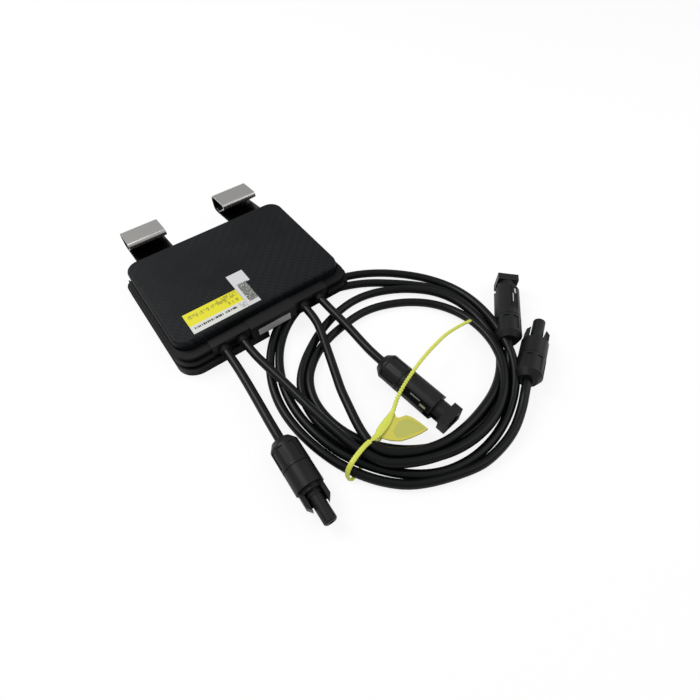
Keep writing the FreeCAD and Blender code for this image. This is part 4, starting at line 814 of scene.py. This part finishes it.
def plate(name, outline, level, thickness, edge, material):
    """A flat plate with eased edges."""
    low = [mm(x, y, level) for x, y in outline]
    high = [mm(x, y, level + thickness) for x, y in outline]
    count = len(outline)
    faces = [tuple(range(count)), tuple(reversed(range(count, 2 * count)))]
    for index in range(count):
        after = (index + 1) % count
        faces.append((after, index, count + index, count + after))
    made = mesh_object(name, low + high, faces, material, smooth=False)
    shape = bmesh.new()
    shape.from_mesh(made.data)
    bmesh.ops.recalc_face_normals(shape, faces=shape.faces)
    shape.to_mesh(made.data)
    shape.free()
    easing = made.modifiers.new("edge", "BEVEL")
    easing.width = edge * MM
    easing.segments = EDGE_SEGMENTS
    return made


FIELD_LEVEL = TAG_LEVEL + TAG_THICKNESS - FIELD_SUNK
tie_pieces = [
    beaded_band("tie_band", TIE_BAND, TIE),
    plate("tie_tag", TAG_OUTLINE, TAG_LEVEL, TAG_THICKNESS, TAG_EDGE, TIE_TAG),
    plate("tie_tag_field", TAG_FIELD, FIELD_LEVEL, FIELD_THICKNESS, FIELD_EDGE, TIE_FIELD),
]
for piece in tie_pieces:
    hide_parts("cable_tie")
    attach(piece, "housing")

# Camera, from the place that the photograph was taken from
CAMERA_PLACE = mm(-79.25, -269.52, 263.97)
CAMERA_YAW = math.radians(36.485)
CAMERA_PITCH = math.radians(54.339)
CAMERA_ROLL = math.radians(-0.431)
CAMERA_LENS = 23.382
CAMERA_SENSOR = 36.0
CAMERA_NEAREST = 0.01


def add_camera():
    forward = Vector(
        (
            math.sin(CAMERA_YAW) * math.cos(CAMERA_PITCH),
            math.cos(CAMERA_YAW) * math.cos(CAMERA_PITCH),
            -math.sin(CAMERA_PITCH),
        )
    )
    level = Vector((math.cos(CAMERA_YAW), -math.sin(CAMERA_YAW), 0))
    upward = level.cross(forward)
    right = math.cos(CAMERA_ROLL) * level + math.sin(CAMERA_ROLL) * upward
    upward = math.cos(CAMERA_ROLL) * upward - math.sin(CAMERA_ROLL) * level
    data = bpy.data.cameras.new("camera")
    data.lens = CAMERA_LENS
    data.sensor_width = CAMERA_SENSOR
    data.clip_start = CAMERA_NEAREST
    made = bpy.data.objects.new("camera", data)
    turned = Matrix((right, upward, -forward)).transposed().to_4x4()
    made.matrix_world = Matrix.Translation(CAMERA_PLACE) @ turned
    bpy.context.scene.collection.objects.link(made)
    bpy.context.scene.camera = made


add_camera()

# Floor, light and view
FLOOR_HALF = 1.5
FLOOR_LEVEL = -0.0002
FLOOR_COLOUR = (0.85, 0.85, 0.85)
FLOOR_ROUGHNESS = 0.9
# The share of plain white in what the camera sees of the floor. The rest keeps the shadow
FLOOR_WHITE_SHARE = 0.86


def add_floor():
    data = bpy.data.meshes.new("floor")
    corners = [(-FLOOR_HALF, -FLOOR_HALF, 0), (FLOOR_HALF, -FLOOR_HALF, 0)]
    corners += [(FLOOR_HALF, FLOOR_HALF, 0), (-FLOOR_HALF, FLOOR_HALF, 0)]
    data.from_pydata(corners, [], [(0, 1, 2, 3)])
    made = bpy.data.objects.new("floor", data)
    made.location.z = FLOOR_LEVEL
    bpy.context.scene.collection.objects.link(made)
    material = bpy.data.materials.new("floor_white")
    material.use_nodes = True
    nodes = material.node_tree.nodes
    shader = nodes["Principled BSDF"]
    shader.inputs["Base Color"].default_value = (*FLOOR_COLOUR, 1.0)
    shader.inputs["Roughness"].default_value = FLOOR_ROUGHNESS
    glow = add_node(material, "ShaderNodeEmission")
    glow.inputs["Strength"].default_value = 1.0
    share = add_node(material, "ShaderNodeMixShader")
    path = add_node(material, "ShaderNodeLightPath")
    direct = path.outputs["Is Camera Ray"]
    seen = math_node(material, "MAXIMUM", direct, path.outputs["Is Transmission Ray"])
    join(material, math_node(material, "MULTIPLY", seen, FLOOR_WHITE_SHARE), share.inputs[0])
    join(material, shader.outputs[0], share.inputs[1])
    join(material, glow.outputs[0], share.inputs[2])
    join(material, share.outputs[0], nodes["Material Output"].inputs["Surface"])
    data.materials.append(material)


add_floor()

# Lamps, all aimed at one point: name, place, side in metres and power in watts
LAMP_AIM = mm(20, -90, 0)
LAMPS = (
    ("key", (-0.35, 0.5, 0.9), 0.6, 9.0),
    ("fill", (0.7, -0.5, 0.8), 0.9, 4.0),
)


def add_lamp(name, place, side, power):
    data = bpy.data.lights.new(name, "AREA")
    data.energy = power
    data.size = side
    made = bpy.data.objects.new(name, data)
    made.location = place
    made.rotation_euler = (LAMP_AIM - Vector(place)).to_track_quat("-Z", "Y").to_euler()
    bpy.context.scene.collection.objects.link(made)


for lamp in LAMPS:
    add_lamp(*lamp)

WORLD_LIGHT = 0.55
WORLD_SEEN = 1.0


def add_world():
    """White to the camera, and a plain level of light on the object."""
    world = bpy.data.worlds.new("studio")
    world.use_nodes = True
    background = world.node_tree.nodes["Background"]
    background.inputs["Color"].default_value = (1.0, 1.0, 1.0, 1.0)
    path = add_node(world, "ShaderNodeLightPath")
    strength = add_node(world, "ShaderNodeMapRange")
    strength.inputs["To Min"].default_value = WORLD_LIGHT
    strength.inputs["To Max"].default_value = WORLD_SEEN
    join(world, path.outputs["Is Camera Ray"], strength.inputs["Value"])
    join(world, strength.outputs["Result"], background.inputs["Strength"])
    bpy.context.scene.world = world


add_world()
bpy.context.scene.view_settings.view_transform = "Standard"
